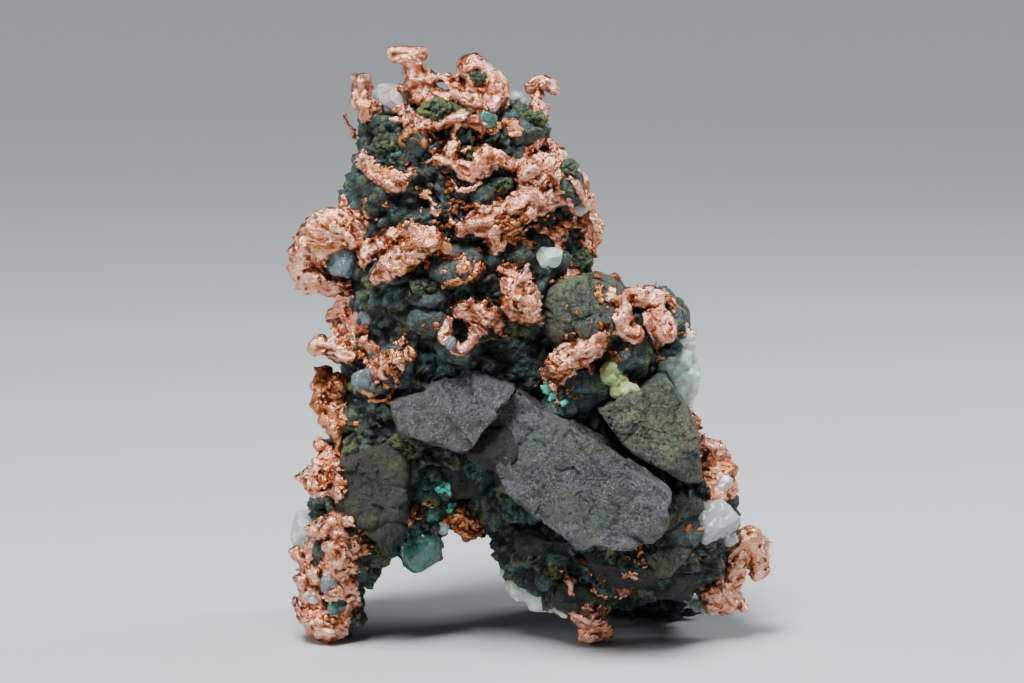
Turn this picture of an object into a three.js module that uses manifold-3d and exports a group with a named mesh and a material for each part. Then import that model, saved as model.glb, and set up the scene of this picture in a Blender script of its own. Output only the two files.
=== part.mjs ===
// Native copper in host rock: a hand specimen, narrow at the top, standing on a left leg and a
// broad right foot with an arch between them. Copper grew through a breccia of basalt blocks in
// a dark green groundmass, with clear crystals and prehnite in the gaps.
//
// Millimetres, +Z up, the front of the specimen towards -Y. The rock is one solid with a socket
// for each growth; each copper growth and each crystal that shows is a solid of its own.
import * as THREE from "three";
import { mergeVertices } from "three/addons/utils/BufferGeometryUtils.js";
import Module from "manifold-3d";

const wasm = await Module();
wasm.setup();

// ---- driving dimensions ---------------------------------------------------------------------
const FAR = 200; // half-space blocks reach this far past the specimen
const GAP = 0.38; // clearance between a growth and its socket, at least 0.3 once faceted
const ROCK_ROUGH = 0.05; // share of its size by which a block departs from a plain ellipsoid
const COPPER_ROUGH = 0.13; // the same for crumpled copper
const CRYSTAL_ROUGH = 0.0; // crystals are trimmed ellipsoids with no wobble
const ROCK_POWER = 2.8; // blocks lie between an ellipsoid (2) and a brick (large)
const LUMP_DETAIL = 1; // subdivisions of the icosahedron behind each lump
const LIMB_SIDES = 5; // sides round a copper limb
const LIMB_RINGS = 2; // rings per stretch between two points of a limb
const LIMB_SPAN = [0.04, 0.96]; // the rings lie between these shares of a limb's length
const TIP_POWER = 6; // how late a limb narrows: the larger, the nearer its ends
const TIP_WIDTH = 0.45; // the narrowest a limb gets before its tip, as a share of its radius
const SAME_PLACE = 1e-4; // vertices closer than this are one
const FRAME_SHIFT = [0.05, -0.32, 0]; // brings the middle of the footprint onto the axis

const GROWN_COPPER = { color: 0xc98465, roughness: 0.38, metalness: 1.0 };
const HOST_ROCK = { color: 0x3b4a47, roughness: 0.85, metalness: 0.0 };
const MILKY_CRYSTAL = { color: 0xb9cdd2, roughness: 0.25, metalness: 0.0 };
const GREEN_CRYSTAL = { color: 0x2f6f5e, roughness: 0.2, metalness: 0.0 };
const PREHNITE = { color: 0xb6cfae, roughness: 0.45, metalness: 0.0 };

// ---- shapes ---------------------------------------------------------------------------------

// A closed solid from a surface: shared vertices merged, collapsed triangles left out.
function solidOf(geometry) {
  geometry.deleteAttribute("normal");
  geometry.deleteAttribute("uv");
  const merged = mergeVertices(geometry, SAME_PLACE);
  const corners = merged.index.array;
  const kept = [];
  for (let i = 0; i < corners.length; i += 3) {
    const [a, b, c] = [corners[i], corners[i + 1], corners[i + 2]];
    if (a !== b && b !== c && c !== a) kept.push(a, b, c);
  }
  return new wasm.Manifold(
    new wasm.Mesh({
      numProp: 3,
      vertProperties: new Float32Array(merged.attributes.position.array),
      triVerts: new Uint32Array(kept),
    }),
  );
}

// A smooth wobble between -1 and 1 over directions, different for each seed.
function wobble(direction, seed) {
  const { x, y, z } = direction;
  return (
    0.45 * Math.sin(3.1 * x + 1.7 * seed) * Math.cos(2.7 * y - 0.9 * seed) +
    0.35 * Math.sin(4.9 * y + 2.3 * seed) * Math.cos(4.3 * z + 1.1 * seed) +
    0.2 * Math.sin(7.7 * z - 1.3 * seed) * Math.cos(6.9 * x + 0.7 * seed)
  );
}

// The half space behind a plane at `reach` from the origin along `normal`, as a big block.
function halfSpace(normal, reach) {
  const n = new THREE.Vector3(...normal).normalize();
  const block = new THREE.BoxGeometry(2 * FAR, 2 * FAR, 2 * FAR);
  block.translate(0, 0, reach - FAR);
  block.applyQuaternion(new THREE.Quaternion().setFromUnitVectors(new THREE.Vector3(0, 0, 1), n));
  return solidOf(block);
}

// A rounded body: a superellipsoid |x/a|^p + |y/b|^p + |z/c|^p = 1 with half-lengths `half` and
// power `power` that wobbles by `rough`, grown outwards by `grow`, and trimmed by flat `faces`,
// each [nx, ny, nz, distance from the centre].
function lump({ at, half, rough, seed, power = 2, faces = [] }, grow = 0) {
  const ball = new THREE.IcosahedronGeometry(1, LUMP_DETAIL);
  const place = ball.attributes.position;
  const direction = new THREE.Vector3();
  const point = new THREE.Vector3();
  const outward = new THREE.Vector3();
  for (let i = 0; i < place.count; i++) {
    direction.fromBufferAttribute(place, i).normalize();
    const spread = direction.toArray().reduce((sum, d) => sum + Math.abs(d) ** power, 0);
    const reach = (1 + rough * wobble(direction, seed)) / spread ** (1 / power);
    point.set(direction.x * half[0], direction.y * half[1], direction.z * half[2]);
    point.multiplyScalar(reach);
    outward.set(direction.x / half[0], direction.y / half[1], direction.z / half[2]).normalize();
    point.addScaledVector(outward, grow);
    place.setXYZ(i, point.x, point.y, point.z);
  }
  let body = solidOf(ball);
  for (const [nx, ny, nz, away] of faces) body = body.intersect(halfSpace([nx, ny, nz], away + grow));
  return body.translate(at);
}

// A limb: a spindle turned from a profile of radii and bent along a curve through `points`.
// `radii` has one radius for each point; both ends close in a round tip.
function limb({ points, radii }, grow = 0) {
  const curve = new THREE.CatmullRomCurve3(points.map((p) => new THREE.Vector3(...p)));
  const rings = LIMB_RINGS * (points.length - 1);
  const profile = [new THREE.Vector2(0, 0)];
  for (let k = 0; k <= rings; k++) {
    const t = k / rings;
    const place = t * (radii.length - 1);
    const low = Math.min(Math.floor(place), radii.length - 2);
    const radius = THREE.MathUtils.lerp(radii[low], radii[low + 1], place - low);
    const tip = Math.max(Math.sqrt(1 - Math.pow(2 * t - 1, TIP_POWER)), TIP_WIDTH);
    profile.push(new THREE.Vector2(radius * tip + grow, THREE.MathUtils.lerp(...LIMB_SPAN, t)));
  }
  profile.push(new THREE.Vector2(0, 1));
  const spindle = new THREE.LatheGeometry(profile, LIMB_SIDES);
  const frames = curve.computeFrenetFrames(rings, false);
  const place = spindle.attributes.position;
  for (let i = 0; i < place.count; i++) {
    const along = place.getY(i);
    const t = THREE.MathUtils.clamp(along, 0, 1);
    const ring = Math.round(t * rings);
    const centre = curve.getPointAt(t);
    const overhang = along === 0 ? -grow : along === 1 ? grow : 0;
    centre.addScaledVector(frames.tangents[ring], overhang);
    centre.addScaledVector(frames.normals[ring], place.getX(i));
    centre.addScaledVector(frames.binormals[ring], -place.getZ(i));
    place.setXYZ(i, centre.x, centre.y, centre.z);
  }
  return solidOf(spindle);
}

const shapeOf = (spec, grow) => (spec.points ? limb(spec, grow) : lump(spec, grow));

const joined = (specs, grow = 0) =>
  specs.map((spec) => shapeOf(spec, grow)).reduce((whole, next) => whole.add(next));

const largest = (body) => body.decompose().reduce((a, b) => (b.volume() > a.volume() ? b : a));

// ---- host rock ------------------------------------------------------------------------------

const rock = (at, half, seed, faces = []) => ({
  at,
  half,
  seed,
  faces,
  rough: ROCK_ROUGH,
  power: ROCK_POWER,
});

// The big fractured slab across the front: a lit upper face over an undercut lower edge.
const slab = rock([4.7, -5, 18], [15, 11, 12], 3, [
  [-0.12, -0.95, 0.3, 6.9],
  [0.55, 0, 0.84, 4.2],
  [1, 0, -0.05, 9],
  [0.78, 0, -0.62, 9.2],
  [0.07, 0, -1, 6.3],
  [-0.59, 0, -0.81, 4.9],
  [-0.95, 0, -0.3, 7],
  [-0.81, 0, 0.58, 9.9],
]);
const slabShoulder = rock([-7, -5.5, 23.5], [9, 9, 8], 5, [
  [-0.2, -0.85, 0.49, 4.6],
  [-0.35, 0, 0.94, 3.8],
  [0.3, 0, 0.95, 5.1],
  [0.81, 0, -0.58, 2.7],
  [-0.25, -0.2, -0.95, 3.5],
  [-0.95, 0, -0.3, 5.6],
]);
// The olive block to the right of the slab.
const rightBlock = rock([11.9, -3.2, 23.6], [8, 8, 8], 7, [
  [0.05, -0.97, 0.22, 6.3],
  [-0.15, 0, 0.99, 5.2],
  [0.85, 0, 0.5, 3.6],
  [1, 0, 0.1, 4.6],
  [-0.5, 0, -0.87, 3.5],
  [-0.73, 0, -0.68, 3.35],
  [-0.42, 0, 0.9, 3],
]);
const column = [
  rock([-7.5, 0.5, 49.3], [10, 7.5, 5.6], 11),
  rock([-7.3, 1, 43.5], [11.4, 9.2, 7], 12),
  rock([-6.3, 1.5, 36.5], [12.6, 10.5, 8], 13),
  rock([-5, 2.6, 29.5], [13.4, 10.4, 7.5], 14),
  rock([-4, 7.5, 36], [8.6, 6.4, 9], 15),
  rock([2.4, -0.5, 41.5], [3.6, 5.6, 6.2], 16),
];
const body = [
  rock([7, 3, 25.5], [8.8, 9.8, 9.5], 21),
  rock([10, 0.5, 31.3], [6, 6.6, 4.4], 22),
  rock([-11.5, 2, 21.5], [8, 9, 9], 23),
  rock([1, 3, 19], [13, 9.5, 9.5], 24),
  rock([3.5, 9, 23], [9.5, 6.6, 9], 25),
  rock([12, 1, 11.2], [9.6, 9, 7.4], 26),
];
const blocks = [
  rock([5.4, -4.5, 33.8], [4.2, 4.2, 3.7], 31, [[0.1, -0.95, 0.3, 3.6]]),
  rock([-14.8, -4.5, 16.5], [4.2, 4.6, 4.6], 39, [
    [-0.1, -1, 0.1, 3.4],
    [1, -0.1, 0, 3.4],
    [0, 0, -1, 4],
    [-0.4, 0, 0.9, 3.8],
  ]),
];
const legs = [
  rock([-12, -0.5, 12.6], [4.4, 5.2, 4.4], 51),
  rock([-18, -0.5, 11.5], [4.2, 5.4, 7], 52),
  rock([-19.6, -0.5, 4.6], [3.2, 4.6, 5], 53),
  rock([-16.6, 6, 14.4], [4.8, 6.2, 7.6], 54),
  rock([-19.2, 8.5, 5.4], [3.1, 4.6, 5.8], 55),
  rock([6, 1, 8.6], [9.5, 8.5, 6.2], 56, [[-0.66, 0, -0.75, 6.8]]),
  rock([13, 9, 5.2], [6.4, 5.8, 5.6], 57),
];
const rockParts = [slab, slabShoulder, rightBlock, ...column, ...body, ...blocks, ...legs];

// ---- growths: each entry is one node --------------------------------------------------------

const bead = (at, half, seed) => ({ at, half, seed, rough: COPPER_ROUGH });
const arm = (points, radii) => ({ points, radii });

const copper = {
  crown_copper: [
    arm([[-13.9, -3, 59], [-12.4, -3, 58.5], [-11, -3, 58.4], [-9.7, -3, 58.9]], [0.6, 1, 1.2, 0.8]),
    arm([[-11.4, -3, 58.4], [-11, -2.9, 56.4], [-9.4, -3.6, 54]], [0.9, 1.2, 1.7]),
    arm([[-15.9, -3, 56.9], [-16.2, -3, 54.6], [-14.8, -3.4, 52.2]], [0.8, 1.2, 1.4]),
    arm([[-15.2, -3.4, 52.5], [-11, -5.8, 52.3], [-6, -6.2, 52.6], [-2.6, -5.8, 51.2]], [1.2, 1.5, 1.5, 1]),
    arm([[-10.2, -3.9, 54], [-6.4, -4.7, 54.2], [-3, -4.8, 52.8]], [1.7, 1.7, 1.4]),
    arm([[-5.6, -2.6, 58.8], [-5.3, -2.6, 56.8], [-4.2, -4, 53.8]], [1.4, 1.8, 1.4]),
    arm([[-2.9, -3.4, 57], [-3, -3.8, 55], [-3.2, -4.6, 52.8]], [1, 1.6, 1.3]),
  ],
  hooked_sprig_copper: [
    arm([[-0.2, 2, 54.9], [1.4, 2, 55.7], [3.2, 2, 54.5]], [0.6, 0.8, 0.6]),
    arm([[1.4, 2, 55.4], [1, 1.4, 53.9], [1.2, 0.4, 51.6]], [0.7, 0.9, 1.3]),
  ],
  upper_band_copper: [
    arm([[-7.2, -6.9, 50.2], [-7, -7.1, 48.6], [-5, -7.4, 47.8], [-3, -7, 48.7], [-1.3, -6, 47.9]],
      [0.8, 1, 1.1, 1.3, 1]),
  ],
  left_stripe_copper: [
    arm([[-16.4, -3.2, 48.4], [-14.2, -5.3, 47.2], [-11.6, -7.4, 46]], [1, 1.2, 1.1]),
  ],
  shoulder_mass_copper: [
    bead([0.7, -6.4, 46.2], [2.6, 2.1, 3.2], 63),
    arm([[0.6, -7, 44.8], [-2.4, -8, 42.9], [-6.2, -8.2, 42.2]], [2.2, 1.8, 1.1]),
    arm([[-1.8, -7.8, 42.8], [-3.1, -8.3, 40.1]], [1.3, 1.2]),
  ],
  right_rim_copper: [
    arm([[2.4, -4.4, 49.2], [4.8, -4, 46.2], [6, -3.3, 42.2], [5.6, -3.4, 38]], [0.9, 1.4, 1.5, 1]),
  ],
  left_arm_copper: [
    arm([[-14.8, -4.6, 41.2], [-18.6, -4.6, 42.1], [-21, -4, 40.8], [-21.8, -3.8, 38.6], [-20.7, -3.6, 36.6],
      [-16.6, -2.8, 35.4]], [1.3, 1.7, 1.5, 1.4, 1.4, 1.2]),
  ],
  tongue_copper: [
    arm([[-15.2, -6.4, 36.9], [-13.2, -7.9, 38.5], [-10.6, -8.5, 40.2], [-8.2, -8.2, 41.2]], [1.1, 1.5, 1.7, 1.3]),
  ],
  face_centre_copper: [
    arm([[-1.6, -8.2, 38], [-0.8, -8.4, 35.8], [0.8, -8.2, 33]], [1.6, 2.2, 1.8]),
  ],
  face_ring_copper: [
    arm([[-7.4, -8.7, 34], [-5.5, -8.9, 34.2], [-3.2, -8.8, 33.2]], [0.9, 1.1, 1.4]),
    arm([[-7.3, -8.7, 33.7], [-7.9, -9.3, 31.9], [-6.5, -9.6, 30.5], [-5.1, -9.2, 31.9], [-4.9, -8.8, 33.6]],
      [0.8, 0.8, 0.8, 0.8, 0.8]),
  ],
  lower_face_copper: [
    arm([[8, -6.8, 31.4], [5.4, -7.7, 30.2], [3, -8, 28.4], [2.5, -7.6, 25.8]], [1.4, 2, 1.9, 0.8]),
  ],
  right_shoulder_copper: [
    arm([[8.4, -5.6, 34.8], [11.6, -3.8, 35], [14, -2.8, 34.2]], [1.1, 1.4, 1.1]),
    arm([[9.2, -5.9, 34.8], [9.6, -6.3, 32.4], [11.4, -6.3, 31.2]], [1.3, 1.5, 1]),
    arm([[12.4, -4, 34.6], [13.3, -5.6, 32.8], [13.6, -5.9, 30.6]], [1, 1.2, 1]),
  ],
  left_knob_copper: [
    arm([[-21.2, -3.6, 30.5], [-19, -3.6, 30], [-15.6, -3.6, 29.5]], [1, 1.5, 1.3]),
  ],
  left_edge_copper: [
    arm([[-18.8, -2.6, 27.4], [-19.1, -2.8, 24.8], [-18.6, -3.4, 22.2], [-18.6, -3.2, 20]], [1.4, 2.2, 1.7, 1.4]),
  ],
  lower_left_knob_copper: [
    arm([[-20.6, -2.6, 14.6], [-20.5, -3, 16.8], [-19.4, -2.8, 19.6]], [1.8, 2.3, 1.1]),
  ],
  left_foot_copper: [
    arm([[-19, -4.4, 13.6], [-18.4, -4.2, 9.4], [-19, -3.2, 4]], [2, 2.9, 2.6]),
    arm([[-21, -3, 11], [-21.3, -2.8, 7.4], [-20.8, -2.4, 3.6]], [1.3, 2.2, 2.4]),
    bead([-20.1, -2.4, 2.4], [3.4, 3.2, 3.2], 76),
  ],
  arch_copper: [
    arm([[-8, -3.6, 14.6], [-6.6, -3.4, 13], [-4.6, -2.6, 11.2]], [1.4, 2, 1.6]),
  ],
  centre_foot_copper: [
    arm([[4.2, -6.8, 7.6], [5, -6, 4.6], [6.4, -5, 2.2]], [1.1, 1.3, 2]),
    bead([6.9, -4.6, 1.3], [2.3, 2.2, 2.2], 79),
  ],
  right_edge_copper: [
    arm([[16.4, -1.2, 19.4], [18.6, -1, 19.5], [19.9, -1.2, 18.2]], [1, 1, 0.7]),
    arm([[19.4, -1.2, 18.6], [19.4, -2.2, 16.4], [18.8, -3, 14]], [0.8, 1.7, 1.4]),
  ],
  right_tip_copper: [
    arm([[17.6, -0.8, 4.4], [19.4, -1.4, 4.6], [21, -1.9, 5]], [2, 2.2, 1.8]),
    arm([[20.4, -1.8, 4.6], [21, -2, 8], [22.2, -1.8, 10.6], [23.3, -1.6, 8.4], [23, -1.6, 5.8]],
      [1.4, 1.3, 1, 0.9, 0.7]),
  ],
};

const crystal = (at, half, seed, faces) => ({ at, half, seed, faces, rough: CRYSTAL_ROUGH });

const milkyCrystals = {
  crown_crystal: [crystal([-13.2, -2.2, 54.2], [2.4, 1.9, 1.9], 91, [[0.3, -0.6, 0.7, 1.3], [-0.7, -0.5, 0.5, 1.7]])],
  sprig_crystal: [crystal([-1, 1.2, 53.8], [1.1, 1.2, 1.5], 92, [[0.2, -0.3, 0.9, 1.1]])],
  arm_crystal: [crystal([-18, -4.6, 38.9], [1.5, 1.7, 1.6], 93, [[-0.2, -0.9, 0.3, 1.2]])],
  foot_crystal: [crystal([-22.4, -1, 10.6], [1.7, 2.2, 2.4], 94, [[-0.7, -0.6, 0.2, 1.4], [0, -0.4, 0.9, 1.8]])],
  right_low_crystal: [crystal([19.1, -4.6, 12.4], [2.2, 1.8, 2.1], 95, [[0.1, -0.8, 0.6, 1.4]])],
};
const greenCrystals = {
  arch_crystal: [crystal([-10.6, -3.6, 10], [2.2, 2.6, 2.8], 96, [[-0.2, -0.9, 0.3, 1.9], [0.4, -0.8, -0.3, 1.9]])],
};
const prehnite = {
  prehnite_crust: [
    arm([[15.4, -1.2, 31.8], [15.8, -1, 28.9], [16, -0.8, 25.8], [17, -0.6, 23.4]], [1.3, 1.7, 1.5, 1.1]),
  ],
  prehnite_vein: [arm([[8, -7, 28.6], [8.9, -7.5, 26.9], [10.8, -7.4, 25]], [0.9, 1.2, 1.1])],
  cavity_crystal: [crystal([1.8, -6.8, 39.2], [1.6, 1.6, 1.1], 97, [[0.1, -0.9, 0.3, 1.3]])],
};

// ---- assembly -------------------------------------------------------------------------------

const specimen = new THREE.Group();
const ground = halfSpace([0, 0, -1], 0);
const settled = (solid) => largest(solid.intersect(ground));

function addNode(name, solid, look) {
  const mesh = solid.getMesh();
  const geometry = new THREE.BufferGeometry();
  geometry.setAttribute("position", new THREE.BufferAttribute(Float32Array.from(mesh.vertProperties), 3));
  geometry.setIndex(new THREE.BufferAttribute(Uint32Array.from(mesh.triVerts), 1));
  geometry.computeVertexNormals();
  const node = new THREE.Mesh(geometry, new THREE.MeshStandardMaterial(look));
  node.name = name;
  specimen.add(node);
}

// Each growth keeps clear of the growths before it, and the rock keeps clear of them all.
let taken = null;
function addGrowths(growths, look) {
  for (const [name, specs] of Object.entries(growths)) {
    const whole = joined(specs);
    addNode(name, settled(taken ? whole.subtract(taken) : whole), look);
    const socket = joined(specs, GAP);
    taken = taken ? taken.add(socket) : socket;
  }
}

addGrowths(copper, GROWN_COPPER);
addGrowths(milkyCrystals, MILKY_CRYSTAL);
addGrowths(greenCrystals, GREEN_CRYSTAL);
addGrowths(prehnite, PREHNITE);
addNode("host_rock", settled(joined(rockParts).subtract(taken)), HOST_ROCK);

specimen.position.set(...FRAME_SHIFT);

export default specimen;
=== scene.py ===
"""Native copper in host rock: the looks of one hand specimen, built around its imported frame.

Basalt blocks, copper growths and crystals are surfaces worked out on grids of two parameters. Places
and sizes are millimetres on the bench, with the front of the specimen towards -Y, and are moved and
scaled to the frame's metres when a mesh is made.
"""
from itertools import product

import bpy
import numpy as np
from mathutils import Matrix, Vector


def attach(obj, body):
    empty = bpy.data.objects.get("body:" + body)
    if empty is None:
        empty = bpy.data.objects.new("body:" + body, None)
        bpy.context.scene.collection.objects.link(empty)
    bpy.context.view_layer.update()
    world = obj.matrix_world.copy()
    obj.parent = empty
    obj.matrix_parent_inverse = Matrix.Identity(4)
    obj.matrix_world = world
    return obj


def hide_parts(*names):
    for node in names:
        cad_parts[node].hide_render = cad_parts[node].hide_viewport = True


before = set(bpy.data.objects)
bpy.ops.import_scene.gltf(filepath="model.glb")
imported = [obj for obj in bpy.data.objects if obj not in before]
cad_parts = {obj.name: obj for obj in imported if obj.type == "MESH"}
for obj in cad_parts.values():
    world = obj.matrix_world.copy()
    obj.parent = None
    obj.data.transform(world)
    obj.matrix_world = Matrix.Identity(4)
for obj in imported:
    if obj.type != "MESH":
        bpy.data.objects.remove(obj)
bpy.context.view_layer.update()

MM = 0.001  # metres in a millimetre
FRAME_SHIFT = np.array([0.05, -0.32, 0.0])  # bench to frame, as the part's own shift
UP = np.array([0.0, 0.0, 1.0])
FRONT = np.array([0.0, -1.0, 0.0])


# ---- noise over space -----------------------------------------------------------------------

def lattice(cell, seed):
    """Repeatable random numbers from 0 to 1, one for each whole-number lattice point."""
    mixed = cell[..., 0] * 374761393 + cell[..., 1] * 668265263 + cell[..., 2] * 1440670441
    mixed = (mixed + seed * 1013904223) & 0xFFFFFFFF
    mixed = ((mixed ^ (mixed >> 13)) * 1274126177) & 0xFFFFFFFF
    return ((mixed ^ (mixed >> 16)) & 0xFFFFFF) / 0xFFFFFF


def soft_noise(place, size, seed):
    """Noise from -1 to 1: lattice values a `size` apart, blended by 3t^2 - 2t^3 on each axis."""
    spot = place / size
    low = np.floor(spot)
    part = spot - low
    fade = part * part * (3 - 2 * part)
    low = low.astype(np.int64)
    total = np.zeros(place.shape[:-1])
    for corner in product((0, 1), repeat=3):
        step = np.array(corner)
        share = np.prod(np.where(step == 1, fade, 1 - fade), axis=-1)
        total += share * lattice(low + step, seed)
    return 2 * total - 1


def layered_noise(place, size, seed, layers=3):
    """Sum of soft noise, each layer half the size and half the strength of the one before."""
    strengths = 0.5 ** np.arange(layers)
    total = sum(k * soft_noise(place, size * k, seed + 17 * i) for i, k in enumerate(strengths))
    return total / strengths.sum()


def ridges(place, size, seed):
    """Sharp folds from 0 to 1: one where soft noise passes through zero, falling off each side."""
    return (1 - np.abs(soft_noise(place, size, seed))) ** 2


def nearest_cells(place, size, seed):
    """Jittered cells a `size` apart: distance to the nearest two centres, the offset from the
    nearest centre, and that cell's three random numbers."""
    spot = place / size
    home = np.floor(spot).astype(np.int64)
    first = np.full(place.shape[:-1], 9.0)
    second = first.copy()
    offset = np.zeros_like(place)
    cell = np.zeros_like(home)
    for step in product((-1, 0, 1), repeat=3):
        other = home + np.array(step)
        centre = other + np.stack([lattice(other, seed + axis) for axis in range(3)], -1)
        away = spot - centre
        distance = np.sqrt((away ** 2).sum(-1))
        closer = distance < first
        second = np.where(closer, first, np.minimum(second, distance))
        first = np.where(closer, distance, first)
        offset = np.where(closer[..., None], away, offset)
        cell = np.where(closer[..., None], other, cell)
    traits = np.stack([lattice(cell, seed + 5 + axis) for axis in range(3)], -1)
    return first * size, second * size, offset * size, traits


def chips(place, size, seed, tilt, crevice):
    """Hackly facets: each cell is a plane of its own tilt and level, with a crevice at its edge."""
    first, second, offset, traits = nearest_cells(place, size, seed)
    slope = tilt * (offset * (traits * 2 - 1)).sum(-1) / size
    level = 0.35 * (traits[..., 0] - 0.5)
    edge = np.clip((second - first) / (0.35 * size), 0, 1)
    return slope + level - crevice * (1 - edge) ** 2, traits[..., 1]


# ---- surfaces on grids ----------------------------------------------------------------------

def directions(rows, columns, crowd=1.0):
    """Unit directions: the polar angle pi * t^crowd from the front pole, the azimuth once round."""
    polar = np.pi * np.linspace(0, 1, rows + 1) ** crowd
    azimuth = 2 * np.pi * np.arange(columns) / columns
    polar, azimuth = np.meshgrid(polar, azimuth, indexing="ij")
    across = np.sin(polar)
    return np.stack([across * np.cos(azimuth), -np.cos(polar), across * np.sin(azimuth)], -1)


def block_reach(way, half, power, faces=(), crisp=18):
    """How far a block reaches along unit directions: a superellipsoid with half-lengths `half`,
    trimmed by planes (nx, ny, nz, distance) through a soft minimum of sharpness `crisp`."""
    rounded = (np.abs(way / np.array(half)) ** power).sum(-1) ** (1 / power)
    total = rounded ** crisp
    for *normal, distance in faces:
        normal = np.array(normal) / np.linalg.norm(normal)
        total = total + np.clip(way @ normal / distance, 0, None) ** crisp
    return total ** (-1 / crisp)


def grid_normals(points):
    """Outward unit normals of a closed grid: the cross product of its two central differences."""
    along = np.gradient(points, axis=0)
    around = np.roll(points, -1, axis=1) - np.roll(points, 1, axis=1)
    normal = np.cross(along, around)
    normal[0] = normal[1].mean(axis=0)
    normal[-1] = normal[-2].mean(axis=0)
    normal /= np.linalg.norm(normal, axis=-1, keepdims=True) + 1e-12
    outward = ((points - points.mean(axis=(0, 1))) * normal).sum()
    return normal if outward > 0 else -normal


def raised(points, height):
    """The grid moved along its own normals by `height`, with both poles kept as single points."""
    moved = points + grid_normals(points) * height[..., None]
    moved[0] = moved[0].mean(axis=0)
    moved[-1] = moved[-1].mean(axis=0)
    return moved


def path_points(knots, count):
    """A Catmull-Rom curve through the knots: cubic in t between each pair, `count` points."""
    knots = np.array(knots, float)
    padded = np.vstack([2 * knots[0] - knots[1], knots, 2 * knots[-1] - knots[-2]])
    t = np.linspace(0, len(knots) - 1, count)
    k = np.minimum(t.astype(int), len(knots) - 2)
    t = (t - k)[:, None]
    a, b, c, d = (padded[k + i] for i in range(4))
    return b + t / 2 * (c - a + t * (2 * a - 5 * b + 4 * c - d + t * (3 * b - a - 3 * c + d)))


def limb_grid(knots, radii, rows, columns):
    """A circle carried along a curve: radius interpolated from `radii` and closed to a point at
    both ends by (1 - |2t-1|^5)^(1/2)."""
    spine = path_points(knots, rows + 1)
    tangent = np.gradient(spine, axis=0)
    tangent /= np.linalg.norm(tangent, axis=-1, keepdims=True)
    side = np.cross(tangent, FRONT + 0.17 * UP)
    side /= np.linalg.norm(side, axis=-1, keepdims=True)
    other = np.cross(tangent, side)
    t = np.linspace(0, 1, rows + 1)
    radius = np.interp(t, np.linspace(0, 1, len(radii)), radii)
    radius = radius * np.sqrt(np.clip(1 - np.abs(2 * t - 1) ** 5, 0, None))
    turn = (2 * np.pi * np.arange(columns) / columns)[None, :, None]
    ring = np.cos(turn) * side[:, None] + np.sin(turn) * other[:, None]
    return spine[:, None] + radius[:, None, None] * ring


def shell_faces(rows, columns, start):
    """Corner numbers of a closed grid whose first and last rows are single points: quads between
    the rings as two triangles each, and a fan at each pole."""
    ring = start + 1 + np.arange((rows - 1) * columns).reshape(rows - 1, columns)
    right = np.roll(ring, -1, axis=1)
    a, b, c, d = ring[:-1], right[:-1], right[1:], ring[1:]
    between = np.stack([np.stack([a, b, c], -1), np.stack([a, c, d], -1)], -2).reshape(-1, 3)
    pole = np.full(columns, start)
    last = np.full(columns, start + 1 + (rows - 1) * columns)
    first_fan = np.stack([pole, right[0], ring[0]], -1)
    last_fan = np.stack([last, ring[-1], right[-1]], -1)
    return np.vstack([between, first_fan, last_fan])


def signed_volume(places, faces):
    """Six times the volume inside triangles, negative if they point inwards."""
    a, b, c = (places[faces[:, i]] for i in range(3))
    return (a * np.cross(b, c)).sum()


def make_piece(name, shells, surface, nodes=()):
    """One object from closed grids. Each shell is (points, marks): marks is a dictionary of one
    number per point, kept as mesh attributes for the material."""
    places, faces, start = [], [], 0
    labels = sorted({label for _, marks in shells for label in marks})
    values = {label: [] for label in labels}
    for points, marks in shells:
        rows, columns = points.shape[0] - 1, points.shape[1]
        flat = np.vstack([points[0, :1], points[1:-1].reshape(-1, 3), points[-1, :1]])
        corners = shell_faces(rows, columns, start)
        if signed_volume(flat - flat.mean(axis=0), corners - start) < 0:
            corners = corners[:, ::-1]
        places.append(flat)
        faces.append(corners)
        for label in labels:
            mark = marks.get(label, np.zeros(points.shape[:2]))
            values[label].append(np.concatenate([mark[0, :1], mark[1:-1].ravel(), mark[-1, :1]]))
        start += len(flat)
    places = (np.vstack(places) + FRAME_SHIFT) * MM
    places[:, 2] = np.maximum(places[:, 2], 0)
    faces = np.vstack(faces).astype(np.int32)
    mesh = bpy.data.meshes.new(name)
    mesh.vertices.add(len(places))
    mesh.vertices.foreach_set("co", places.ravel())
    mesh.loops.add(faces.size)
    mesh.loops.foreach_set("vertex_index", faces.ravel())
    mesh.polygons.add(len(faces))
    mesh.polygons.foreach_set("loop_start", np.arange(0, faces.size, 3, dtype=np.int32))
    mesh.polygons.foreach_set("use_smooth", np.ones(len(faces), bool))
    mesh.update(calc_edges=True)
    for label in labels:
        layer = mesh.attributes.new(label, "FLOAT", "POINT")
        layer.data.foreach_set("value", np.concatenate(values[label]).astype(np.float32))
    mesh.materials.append(surface)
    thing = bpy.data.objects.new(name, mesh)
    bpy.context.collection.objects.link(thing)
    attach(thing, "root")
    if nodes:
        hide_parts(*nodes)


# ---- shader building ------------------------------------------------------------------------

class Number:
    """A number socket that takes part in Python arithmetic; each operation adds a Math node."""

    def __init__(self, paint, socket):
        self.paint = paint
        self.socket = socket

    def math(self, operation, *others):
        return self.paint.number("ShaderNodeMath", {"operation": operation}, [self, *others])

    def __add__(self, other):
        return self.math("ADD", other)

    def __sub__(self, other):
        return self.math("SUBTRACT", other)

    def __rsub__(self, other):
        return self.paint.number("ShaderNodeMath", {"operation": "SUBTRACT"}, [other, self])

    def __mul__(self, other):
        return self.math("MULTIPLY", other)

    __radd__ = __add__
    __rmul__ = __mul__

    def between(self, low, high):
        """0 at `low`, 1 at `high`, smooth in between and clamped outside."""
        settings = {"interpolation_type": "SMOOTHSTEP"}
        return self.paint.number("ShaderNodeMapRange", settings, {0: self, 1: low, 2: high})


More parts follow.
